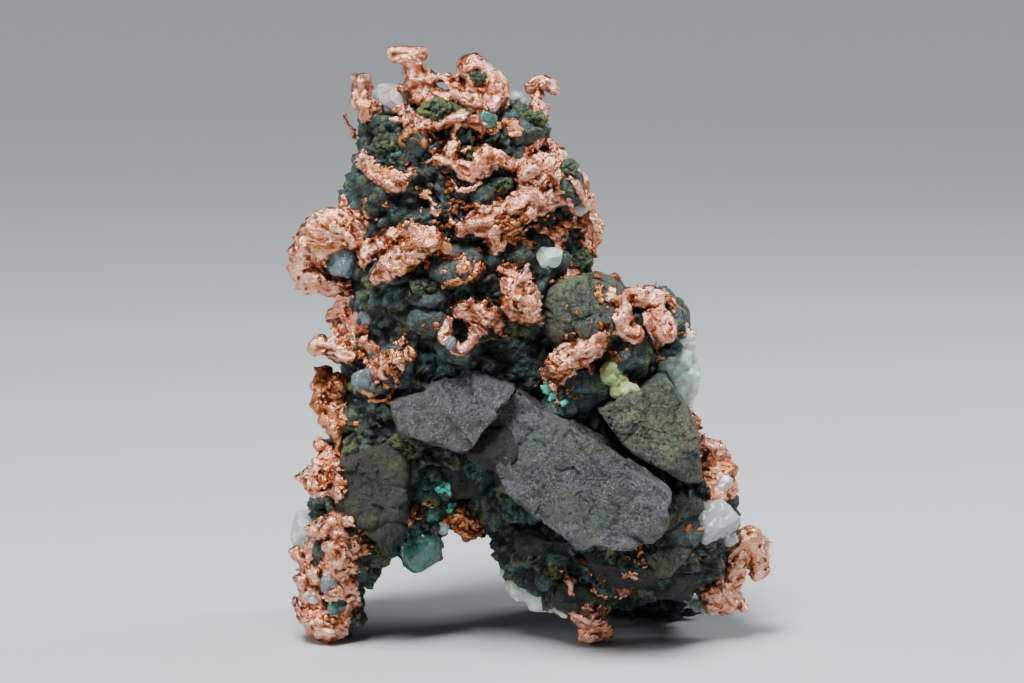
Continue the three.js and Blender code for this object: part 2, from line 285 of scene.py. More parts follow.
class Paint:
    """A material under construction, with one Principled shader."""

    def __init__(self, name):
        self.material = bpy.data.materials.new(name)
        self.material.use_nodes = True
        self.tree = self.material.node_tree
        self.shader = self.tree.nodes["Principled BSDF"]
        self.place = self.node("ShaderNodeTexCoord").outputs["Object"]

    def node(self, kind, settings=None, sockets=None):
        """Adds a node: its settings first, then a value or a link for each named socket."""
        made = self.tree.nodes.new(kind)
        for key, value in (settings or {}).items():
            setattr(made, key, value)
        pairs = sockets.items() if isinstance(sockets, dict) else enumerate(sockets or [])
        for key, value in pairs:
            self.feed(made.inputs[key], value)
        return made

    def feed(self, socket, value):
        """Links a socket or a Number, or sets a plain value."""
        if isinstance(value, Number):
            value = value.socket
        if isinstance(value, bpy.types.NodeSocket):
            self.tree.links.new(value, socket)
        else:
            socket.default_value = value

    def number(self, kind, settings=None, sockets=None, output=0):
        return Number(self, self.node(kind, settings, sockets).outputs[output])

    def noise(self, size_mm, detail=2.0, roughness=0.5, seed=0.0):
        """Noise from about 0 to 1 with features `size_mm` across, moved by `seed` metres."""
        shift = {"Vector": self.place, "Location": (seed, 0, seed)}
        moved = self.node("ShaderNodeMapping", None, shift)
        sockets = {"Vector": moved.outputs[0], "Scale": 1 / (size_mm * MM), "Detail": detail}
        sockets["Roughness"] = roughness
        return self.number("ShaderNodeTexNoise", None, sockets)

    def cells(self, size_mm):
        """Distance to the nearest of jittered cell centres `size_mm` apart, in cells."""
        sockets = {"Vector": self.place, "Scale": 1 / (size_mm * MM)}
        return self.number("ShaderNodeTexVoronoi", None, sockets, "Distance")

    def mark(self, label):
        """A number kept on the mesh by the piece's own shape."""
        return self.number("ShaderNodeAttribute", {"attribute_name": label}, None, "Fac")

    def mix(self, factor, first, second):
        """The first colour where factor is 0 and the second where it is 1."""
        settings = {"data_type": "RGBA", "clamp_factor": True}
        mixed = self.node("ShaderNodeMix", settings, {0: factor, 6: opaque(first), 7: opaque(second)})
        return mixed.outputs[2]

    def bump(self, height, depth_mm, normal=None):
        """A bump of `depth_mm` where height goes from 0 to 1."""
        sockets = {"Height": height, "Distance": depth_mm * MM, "Strength": 1.0}
        if normal is not None:
            sockets["Normal"] = normal
        return self.node("ShaderNodeBump", None, sockets).outputs[0]

    def absorb(self, colour, density):
        """Light lost inside a clear body: `colour` is least lost, at `density` per metre of depth."""
        sockets = {"Color": opaque(colour), "Density": density}
        body = self.node("ShaderNodeVolumeAbsorption", None, sockets)
        self.feed(self.tree.nodes["Material Output"].inputs["Volume"], body.outputs[0])

    def finish(self, **sockets):
        """Feeds the shader's sockets, named with underscores for spaces."""
        for key, value in sockets.items():
            self.feed(self.shader.inputs[key.replace("_", " ")], value)
        return self.material


def opaque(colour):
    """A colour of three numbers with a fourth for full cover; a socket is left as it is."""
    return (*colour, 1.0) if isinstance(colour, tuple) and len(colour) == 3 else colour


# ---- finishes -------------------------------------------------------------------------------

def copper_finish(name, bright, dull, hollows, deepest_shade):
    """Hackly copper: `bright` and `dull` patches on the folds; painted shade between them, of the
    `hollows` colour and near black in the deepest; and satin wrinkles that catch the light."""
    paint = Paint(name)
    hollow = paint.mark("hollow")
    fine = paint.noise(0.16, 3, 0.65)
    patch = paint.noise(1.6, 4, 0.65, 0.3)
    fold = paint.mix(patch.between(0.38, 0.62), dull, bright)
    depth = hollow + 0.35 * fine + 0.3 * patch - 0.32
    # Painted shade: the hollows of the relief are darkened, and the deepest of them nearly to black.
    colour = paint.mix(depth.between(0.24, 0.62), fold, hollows)
    colour = paint.mix(depth.between(0.62, 0.95) * 0.85, colour, deepest_shade)
    roughness = 0.13 + 0.16 * fine + 0.3 * hollow
    grain = paint.bump(paint.noise(0.1, 4, 0.7, 0.1), 0.05)
    folds = paint.bump(paint.noise(0.34, 4, 0.62, 0.2), 0.16, grain)
    return paint.finish(Base_Color=colour, Roughness=roughness, Metallic=1.0, Normal=folds)


def stone_finish(name, ground, dark, light, tint, moss, grain_mm=0.28, rough=0.66, patch_mm=2.6):
    """Broken basalt. Each chip of the relief has its own tone between `ground` and `tint`; mineral
    grains of `dark` and `light` break it up, `moss` lies in granular patches, small pale crystals
    are strewn about, and hollows are painted nearly black as shade."""
    paint = Paint(name)
    hollow = paint.mark("hollow")
    tone = paint.mark("grain")
    mottle = paint.noise(0.9, 4, 0.65, 0.4)
    grit = paint.noise(grain_mm, 4, 0.75, 0.2)
    stain = paint.noise(patch_mm, 5, 0.65, 0.7)
    shade = (tone + 0.8 * stain - 0.4).between(0.3, 0.75)
    colour = paint.mix(shade, ground, tint)
    colour = paint.mix(mottle.between(0.46, 0.64) * 0.85, colour, dark)
    colour = paint.mix(grit.between(0.5, 0.62) * mottle.between(0.62, 0.4) * 0.8, colour, light)
    patches = stain.between(0.52, 0.62) * (grit + 0.4 * mottle).between(0.58, 0.74)
    colour = paint.mix(patches, colour, moss)
    crystals = (0.5 - paint.cells(grain_mm * 1.9)).between(0.2, 0.32) * mottle.between(0.48, 0.56)
    colour = paint.mix(crystals * 0.55, colour, light)
    pits = paint.noise(grain_mm * 1.5, 3, 0.6, 0.9).between(0.56, 0.64)
    colour = paint.mix(pits * 0.8, colour, (0.006, 0.01, 0.01))
    # Painted shade: hollows of the relief darkened to near black.
    colour = paint.mix(hollow.between(0.34, 0.8) * 0.92, colour, (0.004, 0.008, 0.007))
    roughness = rough - 0.3 * grit.between(0.48, 0.66)
    coarse = paint.bump(paint.noise(grain_mm * 2.4, 6, 0.75, 0.5), 0.36)
    fine = paint.bump(grit - 0.5 * pits, 0.17, coarse)
    return paint.finish(Base_Color=colour, Roughness=roughness, Normal=fine, Specular_IOR_Level=0.5)


def crystal_finish(name, clear, milky, cloud, transmission, rough=0.16, density=180.0):
    """Clear to milky crystal: `clear` and `milky` body colours in soft clouds, see-through by plain
    transmission and IOR, with light absorbed towards `clear` at `density` per metre."""
    paint = Paint(name)
    paint.absorb(clear, density)
    veil = paint.noise(1.1, 4, 0.6, 0.2).between(0.5 - cloud, 0.9 - cloud)
    colour = paint.mix(veil, clear, milky)
    roughness = rough + 0.3 * veil * paint.noise(0.3, 2, 0.5, 0.6)
    normal = paint.bump(paint.noise(0.5, 3, 0.6, 0.5), 0.04)
    return paint.finish(
        Base_Color=colour,
        Roughness=roughness,
        Normal=normal,
        IOR=1.6,
        Transmission_Weight=transmission,
    )


def prehnite_finish(name, ground, pale, stain):
    """Waxy prehnite: pale grains with yellow green stains, light carried under the surface."""
    paint = Paint(name)
    patch = paint.noise(0.9, 3, 0.6, 0.2)
    colour = paint.mix(patch.between(0.4, 0.62), ground, pale)
    colour = paint.mix(paint.noise(1.6, 3, 0.6, 0.8).between(0.5, 0.66) * 0.6, colour, stain)
    # Painted shade: hollows between the lobes darkened towards dark green.
    colour = paint.mix(paint.mark("hollow").between(0.4, 1.0) * 0.55, colour, (0.05, 0.1, 0.07))
    normal = paint.bump(paint.noise(0.25, 4, 0.65, 0.4), 0.06)
    return paint.finish(
        Base_Color=colour,
        Roughness=0.28 + 0.3 * patch,
        Normal=normal,
        Subsurface_Weight=0.35,
        Subsurface_Scale=0.8 * MM,
    )


COPPER = copper_finish(
    "native_copper", (0.92, 0.52, 0.39), (0.66, 0.27, 0.15), (0.28, 0.09, 0.035), (0.05, 0.018, 0.01))
DULL_COPPER = copper_finish(
    "tarnished_copper", (0.72, 0.34, 0.17), (0.42, 0.15, 0.05), (0.16, 0.05, 0.015), (0.03, 0.01, 0.005))
GROUNDMASS = stone_finish(
    "dark_groundmass", (0.024, 0.068, 0.068), (0.006, 0.017, 0.02), (0.17, 0.25, 0.24),
    (0.05, 0.068, 0.045), (0.12, 0.15, 0.03))
SLAB = stone_finish(
    "violet_slab", (0.08, 0.083, 0.087), (0.028, 0.039, 0.047), (0.27, 0.28, 0.29),
    (0.05, 0.053, 0.038), (0.078, 0.104, 0.078), 0.17, 0.5, 4.6)
OLIVE = stone_finish(
    "olive_block", (0.085, 0.088, 0.055), (0.032, 0.038, 0.03), (0.2, 0.2, 0.15),
    (0.05, 0.075, 0.06), (0.13, 0.16, 0.07), 0.24)
PLATE = stone_finish(
    "dark_plate", (0.03, 0.029, 0.019), (0.011, 0.013, 0.01), (0.065, 0.062, 0.042),
    (0.021, 0.028, 0.019), (0.062, 0.07, 0.028), 0.2)
GREY_STONE = stone_finish(
    "grey_green_stone", (0.075, 0.1, 0.1), (0.025, 0.042, 0.045), (0.2, 0.25, 0.24),
    (0.05, 0.09, 0.095), (0.11, 0.15, 0.05), 0.22)
MOSS = stone_finish(
    "yellow_green_epidote", (0.095, 0.13, 0.035), (0.025, 0.045, 0.02), (0.3, 0.34, 0.14),
    (0.04, 0.085, 0.055), (0.2, 0.23, 0.04), 0.2)
# Near-black basalt is painted shade: it colours the clasts that lie in the shadow under the slab's
# overhang.
SHADE_BASALT = stone_finish(
    "shade_painted_basalt", (0.012, 0.014, 0.011), (0.005, 0.007, 0.007), (0.05, 0.055, 0.042),
    (0.01, 0.015, 0.013), (0.035, 0.045, 0.016), 0.2)
MILKY = crystal_finish("milky_calcite", (0.84, 0.93, 0.96), (0.9, 0.95, 0.96), 0.24, 0.62, 0.12)
SEA_GREEN = crystal_finish("sea_green_crystal", (0.12, 0.42, 0.34), (0.42, 0.56, 0.52), 0.0, 0.72)
GREY_GLASS = crystal_finish("grey_blue_crystal", (0.25, 0.33, 0.38), (0.4, 0.5, 0.53), 0.1, 0.6, 0.14)
AMBER = crystal_finish("amber_crystal", (0.8, 0.36, 0.08), (0.75, 0.45, 0.2), 0.1, 0.6, 0.14)
TURQUOISE = crystal_finish("turquoise_crust", (0.08, 0.62, 0.5), (0.2, 0.72, 0.6), 0.1, 0.1, 0.4)
CRUST = prehnite_finish("prehnite_crust", (0.4, 0.55, 0.5), (0.62, 0.72, 0.68), (0.45, 0.52, 0.3))
VEIN = prehnite_finish("prehnite_vein", (0.2, 0.27, 0.09), (0.38, 0.45, 0.2), (0.13, 0.18, 0.03))


# ---- host rock ------------------------------------------------------------------------------

def cobbled(points, seed, strength=1.0):
    """Groundmass relief, mostly sunk below the block: tilted angular chips of 2.6, 1.2 and 0.55 mm
    with crevices between them, pits where soft noise is high, and rounded grit of 0.36 mm."""
    bend = np.stack([layered_noise(points, 1.4, seed + 110 + axis, 2) for axis in range(3)], -1)
    bent = points + 0.45 * bend
    coarse, tone = chips(bent, 2.6, seed, 1.5, 0.8)
    middle, tone_middle = chips(bent, 1.2, seed + 40, 1.5, 0.8)
    fine, _ = chips(points, 0.55, seed + 60, 1.2, 0.6)
    near, _, _, _ = nearest_cells(points, 0.36, seed + 70)
    swell = layered_noise(points, 5.0, seed + 90, 2)
    pit = np.clip(layered_noise(points, 2.6, seed + 95, 2) - 0.1, 0, 0.5)
    height = 0.6 * coarse + 0.34 * middle + 0.17 * fine + 0.45 * swell
    height = height - 2.6 * pit - 0.3 * near - 0.2
    hollow = np.clip(0.26 - 0.4 * coarse - 0.4 * middle - 0.4 * fine + 1.7 * pit, 0, 1)
    return strength * height, {"hollow": hollow, "grain": 0.5 * (tone + tone_middle)}


def weathered(points, seed, strength=1.0):
    """Block relief: swells of 4 mm, broad shallow chips, grain, and a crack here and there."""
    chip, tone = chips(points, 2.8, seed, 0.9, 0.3)
    small, tone_small = chips(points, 0.9, seed + 30, 0.8, 0.4)
    swell = layered_noise(points, 4.0, seed + 50, 3)
    grit = layered_noise(points, 0.4, seed + 70, 2)
    open_part = np.clip(3 * layered_noise(points, 5.0, seed + 65, 1) - 0.6, 0, 1)
    crack = open_part * np.clip((ridges(points, 5.0, seed + 60) - 0.975) / 0.025, 0, 1)
    height = 0.26 * chip + 0.13 * small + 0.45 * swell + 0.07 * grit - 0.4 * crack
    hollow = np.clip(0.22 - 0.5 * chip - 0.4 * small + 0.8 * crack, 0, 1)
    return strength * height, {"hollow": hollow, "grain": 0.6 * tone + 0.4 * tone_small}


def block(at, half, seed, faces=(), relief=cobbled, rows=120, strength=1.0, crowd=1.0, crisp=18):
    """A rock block: its reach along each direction from `at`, read with the direction bent a little
    by noise so that its edges wander, then its relief along the normal."""
    way = directions(rows, int(1.5 * rows), crowd)
    wander = np.stack([layered_noise(way * max(half), 3.0, seed + axis, 3) for axis in range(3)], -1)
    bent = way + 0.07 * wander
    bent /= np.linalg.norm(bent, axis=-1, keepdims=True)
    points = np.array(at) + way * block_reach(bent, half, 2.8, faces, crisp)[..., None]
    height, marks = relief(points, seed, strength)
    return raised(points, height), marks


def seeded_cuts(half, count, low, high, seed):
    """Cutting planes in seeded directions, each at `low` to `high` of the ellipsoid's own reach that
    way, for an ellipsoid of half-lengths `half`."""
    draw = np.random.default_rng(seed)
    cuts = draw.normal(size=(count, 3))
    cuts /= np.linalg.norm(cuts, axis=1, keepdims=True)
    away = draw.uniform(low, high, count) / np.sqrt(((cuts / np.array(half)) ** 2).sum(axis=1))
    return [(*cut, reach) for cut, reach in zip(cuts, away)]


def cut_stone(at, half, seed, rows=43):
    """An angular clast: a block trimmed by ten seeded planes at 0.66 to 0.9 of its reach."""
    faces = seeded_cuts(half, 10, 0.66, 0.9, seed)
    return block(at, half, seed, faces, weathered, rows, 0.7, crisp=36)


# Flat faces of the big clasts: each is a direction (nx, ny, nz) and its distance from the middle.
SLAB_FACES = (
    (-0.12, -0.95, 0.3, 6.9),
    (0.55, 0, 0.84, 4.2),
    (1, 0, -0.05, 9),
    (0.78, 0, -0.62, 9.2),
    (0.07, 0, -1, 6.3),
    (-0.59, 0, -0.81, 4.9),
    (-0.95, 0, -0.3, 7),
    (-0.81, 0, 0.58, 9.9),
)


def slab_relief(points, seed, strength=1.0):
    """Fresh broken basalt: wide planes of 6 mm, each at its own tilt, steps of 2.4 mm and grain."""
    bent = points + 0.8 * layered_noise(points, 2.0, seed + 9, 2)[..., None]
    plane, tone = chips(bent, 6.0, seed, 0.8, 0.1)
    step, tone_step = chips(points, 2.4, seed + 20, 0.9, 0.25)
    small, _ = chips(points, 0.8, seed + 30, 0.9, 0.4)
    swell = layered_noise(points, 3.0, seed + 50, 3)
    grit = layered_noise(points, 0.4, seed + 70, 2)
    height = 0.5 * plane + 0.22 * step + 0.1 * small + 0.3 * swell + 0.07 * grit
    hollow = np.clip(0.16 - 0.35 * step - 0.3 * small - 0.3 * swell, 0, 1)
    return strength * height, {"hollow": hollow, "grain": 0.5 * (tone + tone_step)}


SHOULDER_FACES = (
    (-0.2, -0.85, 0.49, 4.6),
    (-0.35, 0, 0.94, 3.8),
    (0.3, 0, 0.95, 5.1),
    (0.81, 0, -0.58, 2.7),
    (-0.25, -0.2, -0.95, 3.5),
    (-0.95, 0, -0.3, 5.6),
)
RIGHT_FACES = (
    (0.05, -0.97, 0.22, 6.3),
    (-0.15, 0, 0.99, 5.2),
    (0.85, 0, 0.5, 3.6),
    (1, 0, 0.1, 4.6),
    (-0.5, 0, -0.87, 3.5),
    (-0.73, 0, -0.68, 3.35),
    (-0.42, 0, 0.9, 3),
)
PLATE_FACES = ((-0.1, -1, 0.1, 3.4), (1, -0.1, 0, 3.4), (0, 0, -1, 4), (-0.4, 0, 0.9, 3.8))

slab = block((4.7, -5, 18), (15, 11, 12), 3, SLAB_FACES, slab_relief, 168, 1.0, 1.15, 44)
make_piece("slab", [slab], SLAB, ["host_rock"])
shoulder = block((-7, -5.5, 23.5), (9, 9, 8), 5, SHOULDER_FACES, slab_relief, 122, 1.0, 1.1, 44)
make_piece("slab_shoulder", [shoulder], SLAB, ["host_rock"])
right_block = block((11.9, -3.2, 23.6), (8, 8, 8), 7, RIGHT_FACES, weathered, 132, 0.9, 1.1, 26)
make_piece("right_block", [right_block], OLIVE, ["host_rock"])
plate = block((-14.8, -4.5, 16.5), (4.2, 4.6, 4.6), 39, PLATE_FACES, weathered, 120, crisp=22)
make_piece("dark_plate", [plate], PLATE, ["host_rock"])
round_block = block((5.4, -4.5, 33.8), (4.2, 4.2, 3.7), 31, ((0.1, -0.95, 0.3, 3.6),), weathered, 130)
make_piece("round_block", [round_block], OLIVE, ["host_rock"])

# Groundmass under the clasts: middle, half-lengths and seed of each block.
COLUMN = (
    ((-7.5, 0.5, 49.3), (10, 7.5, 5.6), 11),
    ((-7.3, 1, 43.5), (11.4, 9.2, 7), 12),
    ((-6.3, 1.5, 36.5), (12.6, 10.5, 8), 13),
    ((-5, 2.6, 29.5), (13.4, 10.4, 7.5), 14),
    ((-4, 7.5, 36), (8.6, 6.4, 9), 15),
    ((2.4, -0.5, 41.5), (3.6, 5.6, 6.2), 16),
)
BODY = (
    ((7, 3, 25.5), (8.8, 9.8, 9.5), 21),
    ((10, 0.5, 31.3), (6, 6.6, 4.4), 22),
    ((-11.5, 2, 21.5), (8, 9, 9), 23),
    ((1, 3, 19), (13, 9.5, 9.5), 24),
    ((3.5, 9, 23), (9.5, 6.6, 9), 25),
    ((12, 1, 11.2), (9.6, 9, 7.4), 26),
    ((6, 1, 8.6), (9.5, 8.5, 6.2), 56),
)
LEGS = (
    ((-12, -0.5, 12.6), (4.4, 5.2, 4.4), 51),
    ((-18, -0.5, 11.5), (4.2, 5.4, 7), 52),
    ((-19.6, -0.5, 4.6), (3.2, 4.6, 5), 53),
    ((-16.6, 6, 14.4), (4.8, 6.2, 7.6), 54),
    ((-19.2, 8.5, 5.4), (3.1, 4.6, 5.8), 55),
    ((13, 9, 5.2), (6.4, 5.8, 5.6), 57),
)
LOW_FACES = {56: ((-0.66, 0, -0.75, 6.8),)}


def rock_group(name, blocks, rows):
    """One piece of cobbled groundmass from several overlapping blocks, which are also returned."""
    shells = [block(at, half, seed, LOW_FACES.get(seed, ()), rows=rows) for at, half, seed in blocks]
    make_piece(name, shells, GROUNDMASS, ["host_rock"])
    return shells


column_shells = rock_group("rock_column", COLUMN, 100)
body_shells = rock_group("rock_body", BODY, 86)
leg_shells = rock_group("rock_legs", LEGS, 60)

# Grey green clasts set in the groundmass: middle, half-lengths and seed.
STONES = (
    ((-7.4, -6.9, 38.4), (3.3, 3.0, 2.4), 36),
    ((-9.2, -7.6, 35.6), (2.7, 2.4, 1.4), 37),
    ((-9.4, -7.8, 33.2), (2.3, 2.2, 1.3), 38),
    ((-12.7, -6.6, 28.9), (2.3, 2.4, 2.5), 42),
    ((-15.2, -5.6, 27), (1.7, 2, 1.6), 43),
    ((9.9, -4.8, 29.4), (2.5, 3.2, 2.2), 32),
    ((5.6, -6.2, 26.2), (2.4, 3, 2.2), 33),
    ((3.2, -6.6, 25.2), (1.8, 2.6, 1.6), 44),
    ((13.9, -3.6, 32), (1.9, 3, 2.1), 35),
    ((-0.8, -2.6, 50.5), (3, 3.8, 2.7), 40),
    ((3.7, -5, 46), (1.8, 2.2, 2), 34),
    ((-11, -4.8, 50.2), (2.2, 3, 2), 45),
    ((-15, -2.8, 45.6), (2.2, 3.2, 2.4), 46),
    ((-16.9, -1.6, 33.4), (2.3, 3, 2.6), 49),
    ((-4.6, -6.4, 45.4), (1.9, 2.2, 1.5), 47),
    ((-7, -6.4, 30), (2.2, 2.4, 1.6), 48),
    ((16, -3.4, 12.3), (4, 5.4, 4.2), 41),
    ((9, 7.4, 31.4), (3, 3, 2.6), 61),
    ((-9, 9, 42), (3.4, 2.6, 3), 62),
    ((-14, 8, 30), (3, 4, 3.4), 63),
    ((4, 12.8, 24), (4.4, 2.4, 4), 64),
    ((14.5, 6.5, 20), (3, 3.4, 3), 65),
)
stones = [cut_stone(at, half, seed) for at, half, seed in STONES]
make_piece("set_stones", stones, GREY_STONE, ["host_rock"])


# ---- copper ---------------------------------------------------------------------------------

def hackly(points, seed, strength=1.0):
    """Copper relief, like crumpled foil: long sharp folds where warped noise crosses zero, at 1.7,
    0.8 and 0.38 mm, over tilted plates of 1.3 and 0.6 mm that meet without a crevice."""
    warp = np.stack([layered_noise(points, 1.6, seed + 3 * axis, 2) for axis in range(3)], -1)
    bent = points * np.array([0.7, 1, 1.25]) + 0.8 * warp
    fold = ridges(bent, 1.7, seed + 11) - 0.4
    crease = ridges(bent, 0.8, seed + 12) - 0.4
    wrinkle = ridges(bent, 0.38, seed + 15) - 0.4
    plate, _ = chips(bent, 1.3, seed + 13, 1.4, 0.1)
    small, _ = chips(bent, 0.6, seed + 14, 1.3, 0.1)
    height = 0.4 * fold + 0.24 * crease + 0.11 * wrinkle + 0.3 * plate + 0.13 * small - 0.12
    hollow = 0.34 - 0.7 * fold - 0.4 * crease - 0.16 * wrinkle - 0.4 * plate - 0.1 * small
    return strength * height, {"hollow": np.clip(hollow, 0, 1)}


def copper_limb(knots, radii, seed, girth):
    """A limb of copper with its relief, sampled every 0.15 mm or so; `girth` scales its radii."""
    length = np.linalg.norm(np.diff(np.array(knots), axis=0), axis=1).sum()
    rows, columns = int(length / 0.15) + 14, int(6.3 * max(radii) / 0.17) + 12
    points = limb_grid(knots, girth * np.array(radii), rows, columns)
    height, marks = hackly(points, seed, 0.85 if girth >= 1 else 1)
    taper = np.sqrt(np.sin(np.linspace(0, np.pi, rows + 1)))[:, None]
    return raised(points, height * taper), marks


def copper_lump(at, half, seed, girth):
    """A lump of copper: a superellipsoid swollen by noise of 2.2 mm, with its relief."""
    half = girth * np.array(half)
    rows = int(3.14 * max(half) / 0.16)
    way = directions(rows, int(1.5 * rows))
    points = np.array(at) + way * block_reach(way, half, 2.2)[..., None]
    points = raised(points, 0.2 * min(half) * layered_noise(points, 2.2, seed, 2))
    height, marks = hackly(points, seed)
    return raised(points, height), marks


def turned(points, quarter):
    """Points turned about the upright axis by a number of quarter turns."""
    x, y, z = points[..., 0], points[..., 1], points[..., 2]
    for _ in range(quarter % 4):
        x, y = y, -x
    return np.stack([x, y, z], -1)


CROSS = np.array([[0, 0], [1, 0], [-1, 0], [0, 1], [0, -1]])  # a place and its four neighbours


class Relief:
    """The nearest surface seen from one side: depth over a grid of across and up, 0.25 mm apart.
    Gaps are filled from their neighbours, each step 0.12 mm further back, and the whole is blurred."""

    step = 0.25
    reach = 27.0  # the grid's first place across is this far to the left of the axis
    size = (217, 256)  # places across and up
    empty = 50.0  # depth where there is no rock
    rock = 40.0  # every depth of rock is less than this

    def __init__(self, clouds, quarter):
        self.quarter = quarter
        points = np.vstack([turned(cloud.reshape(-1, 3), quarter) for cloud in clouds])
        depth = np.full(self.size, self.empty)
        np.minimum.at(depth, self.cell(points[:, 0], points[:, 2]), points[:, 1])
        found = depth < self.rock
        self.seen = found & np.roll(found, 2, 0) & np.roll(found, -2, 0) & np.roll(found, 2, 1)
        for _ in range(24):
            rolled = [np.roll(depth, move, axis) for axis in (0, 1) for move in (-1, 1)]
            depth = np.where(depth < self.rock, depth, np.min(rolled, axis=0) + 0.12)
        for _ in range(2):
            rolled = [np.roll(depth, move, axis) for axis in (0, 1) for move in (-1, 1)]
            depth = (depth * 2 + np.sum(rolled, axis=0)) / 6
        self.depth = depth

    def cell(self, across, up):
        """The grid numbers of places, kept inside the grid."""
        i = np.clip((across + self.reach) / self.step, 0, self.size[0] - 1).astype(int)
        return i, np.clip(up / self.step, 0, self.size[1] - 1).astype(int)

    def at(self, across, up):
        """Depth at places between the grid's points, blended from the nearest four."""
        a = np.clip((across + self.reach) / self.step - 0.5, 0, self.size[0] - 2)
        b = np.clip(up / self.step - 0.5, 0, self.size[1] - 2)
        i, k = a.astype(int), b.astype(int)
        a, b = a - i, b - k
        low = self.depth[i, k] * (1 - a) + self.depth[i + 1, k] * a
        high = self.depth[i, k + 1] * (1 - a) + self.depth[i + 1, k + 1] * a
        return low * (1 - b) + high * b

    def nearest(self, across, up):
        """The smallest depth within 0.7 mm, so that things near an outline sit on the near rock."""
        ring = 0.7 * CROSS
        return float(self.at(across + ring[:, 0], up + ring[:, 1]).min())

    def carries(self, knots, margin=0.5, drop=3):
        """True where rock lies behind the path and `margin` round it, with depths within `drop`."""
        path = path_points(knots, 14)[:, None] + margin * CROSS
        inside = path[..., 1].min() > 0.8 and self.seen[self.cell(path[..., 0], path[..., 1])].all()
        return bool(inside and np.ptp(self.at(path[..., 0], path[..., 1])) < drop)


def skin(relief, knots, widths, seed, lift=0.62, spacing=0.15):
    """Copper lying on the rock: a strip along a path of (across, up) places. Its rim is sunk 0.3 mm
    below the surface and its middle stands `lift` proud, as sin(turn)^0.6, then it is crumpled; the
    rim wanders with noise, and dips of the relief break it into lace. The hidden underside has a
    third as many columns as the front."""
    knots = np.array(knots, float)
    length = np.linalg.norm(np.diff(knots, axis=0), axis=1).sum() + 2 * max(widths)
    rows, columns = int(length / spacing) + 9, int(2.3 * max(widths) / spacing) + 7
    ends = knots[[0, -1]] - (knots[[1, -2]] - knots[[0, -1]]) * 0.25
    spine = path_points(np.vstack([ends[:1], knots, ends[1:]]), rows + 1)
    t = np.linspace(0, 1, rows + 1)
    width = 0.76 * np.interp(t, np.linspace(0, 1, len(widths)), widths) + 0.05
    width = width * np.sqrt(np.clip(1 - np.abs(2 * t - 1) ** 6, 0, None))
    tangent = np.gradient(spine, axis=0)
    tangent /= np.linalg.norm(tangent, axis=-1, keepdims=True) + 1e-9
    hidden = columns // 3
    turn = np.pi * np.concatenate([1 + np.arange(columns) / columns, 2 + np.arange(hidden) / hidden])
    sideways = width[:, None] * np.cos(turn)
    across = spine[:, :1] + sideways * tangent[:, 1:]
    up = spine[:, 1:] - sideways * tangent[:, :1]
    flat = np.stack([across, 0 * across, up], -1)
    wander = 0.4 + 0.36 * width[:, None]
    across = across + wander * layered_noise(flat, 1.25, seed + 1, 3)
    up = up + wander * layered_noise(flat, 1.25, seed + 2, 3)
    front = -np.sin(turn) * np.ones_like(across)
    thick = lift * np.clip(width / 0.6, 0.6, 1.3)[:, None]
    swell = 1 + 0.5 * layered_noise(flat, 1.6, seed + 3, 2)
    bulge = np.where(front > 0, (thick * swell + 0.3) * np.abs(front) ** 0.6, -0.8 * np.abs(front))
    bed = relief.at(across, up)
    bed = np.minimum(bed, bed.min(axis=1, keepdims=True) + 1.6)
    bed = np.minimum(bed, bed.min() + 4)
    points = np.stack([across, bed + 0.3 - bulge, up], -1)
    points[0] = points[0].mean(axis=0)
    points[-1] = points[-1].mean(axis=0)
    height, marks = hackly(points, seed, 0.85)
    taper = np.sin(np.pi * t)[:, None] ** 0.4 * (front > -0.3)
    return turned(raised(points, height * taper), -relief.quarter), marks


FORE, RIGHT, BACK, LEFT = range(4)  # quarter turns that bring each side to the front
FAR_BEHIND = 6.0  # rock deeper than this is seen through a gap, and gets no lace or grains
BACK_STRIPS, BACK_CLASTS, BACK_CLUMPS = -14.3, -13.4, -14.4  # nearer rock on the back stays free of each
GRAINS_FROM, STRIPS_FROM, CLASTS_FROM = -4, -2, 1  # on the other sides, each lies behind this Y


# Parts of the front with no copper on them: middle (across, up) and reach each way.
BARE_PLACES = ((-14.8, 16.5, 4, 4.2), (5, 18, 8, 6.6), (-7, 24, 5.4, 4), (11.9, 23.6, 4.8, 5))


def bare(relief, across, up):
    """True on the front's smooth clasts: the plate, the slab, its shoulder and the right block."""
    inside = [
        (np.abs(across - middle) < reach) & (np.abs(up - height) < rise)
        for middle, height, reach, rise in BARE_PLACES
    ]
    return np.any(inside, axis=0) & (relief.quarter == FORE)


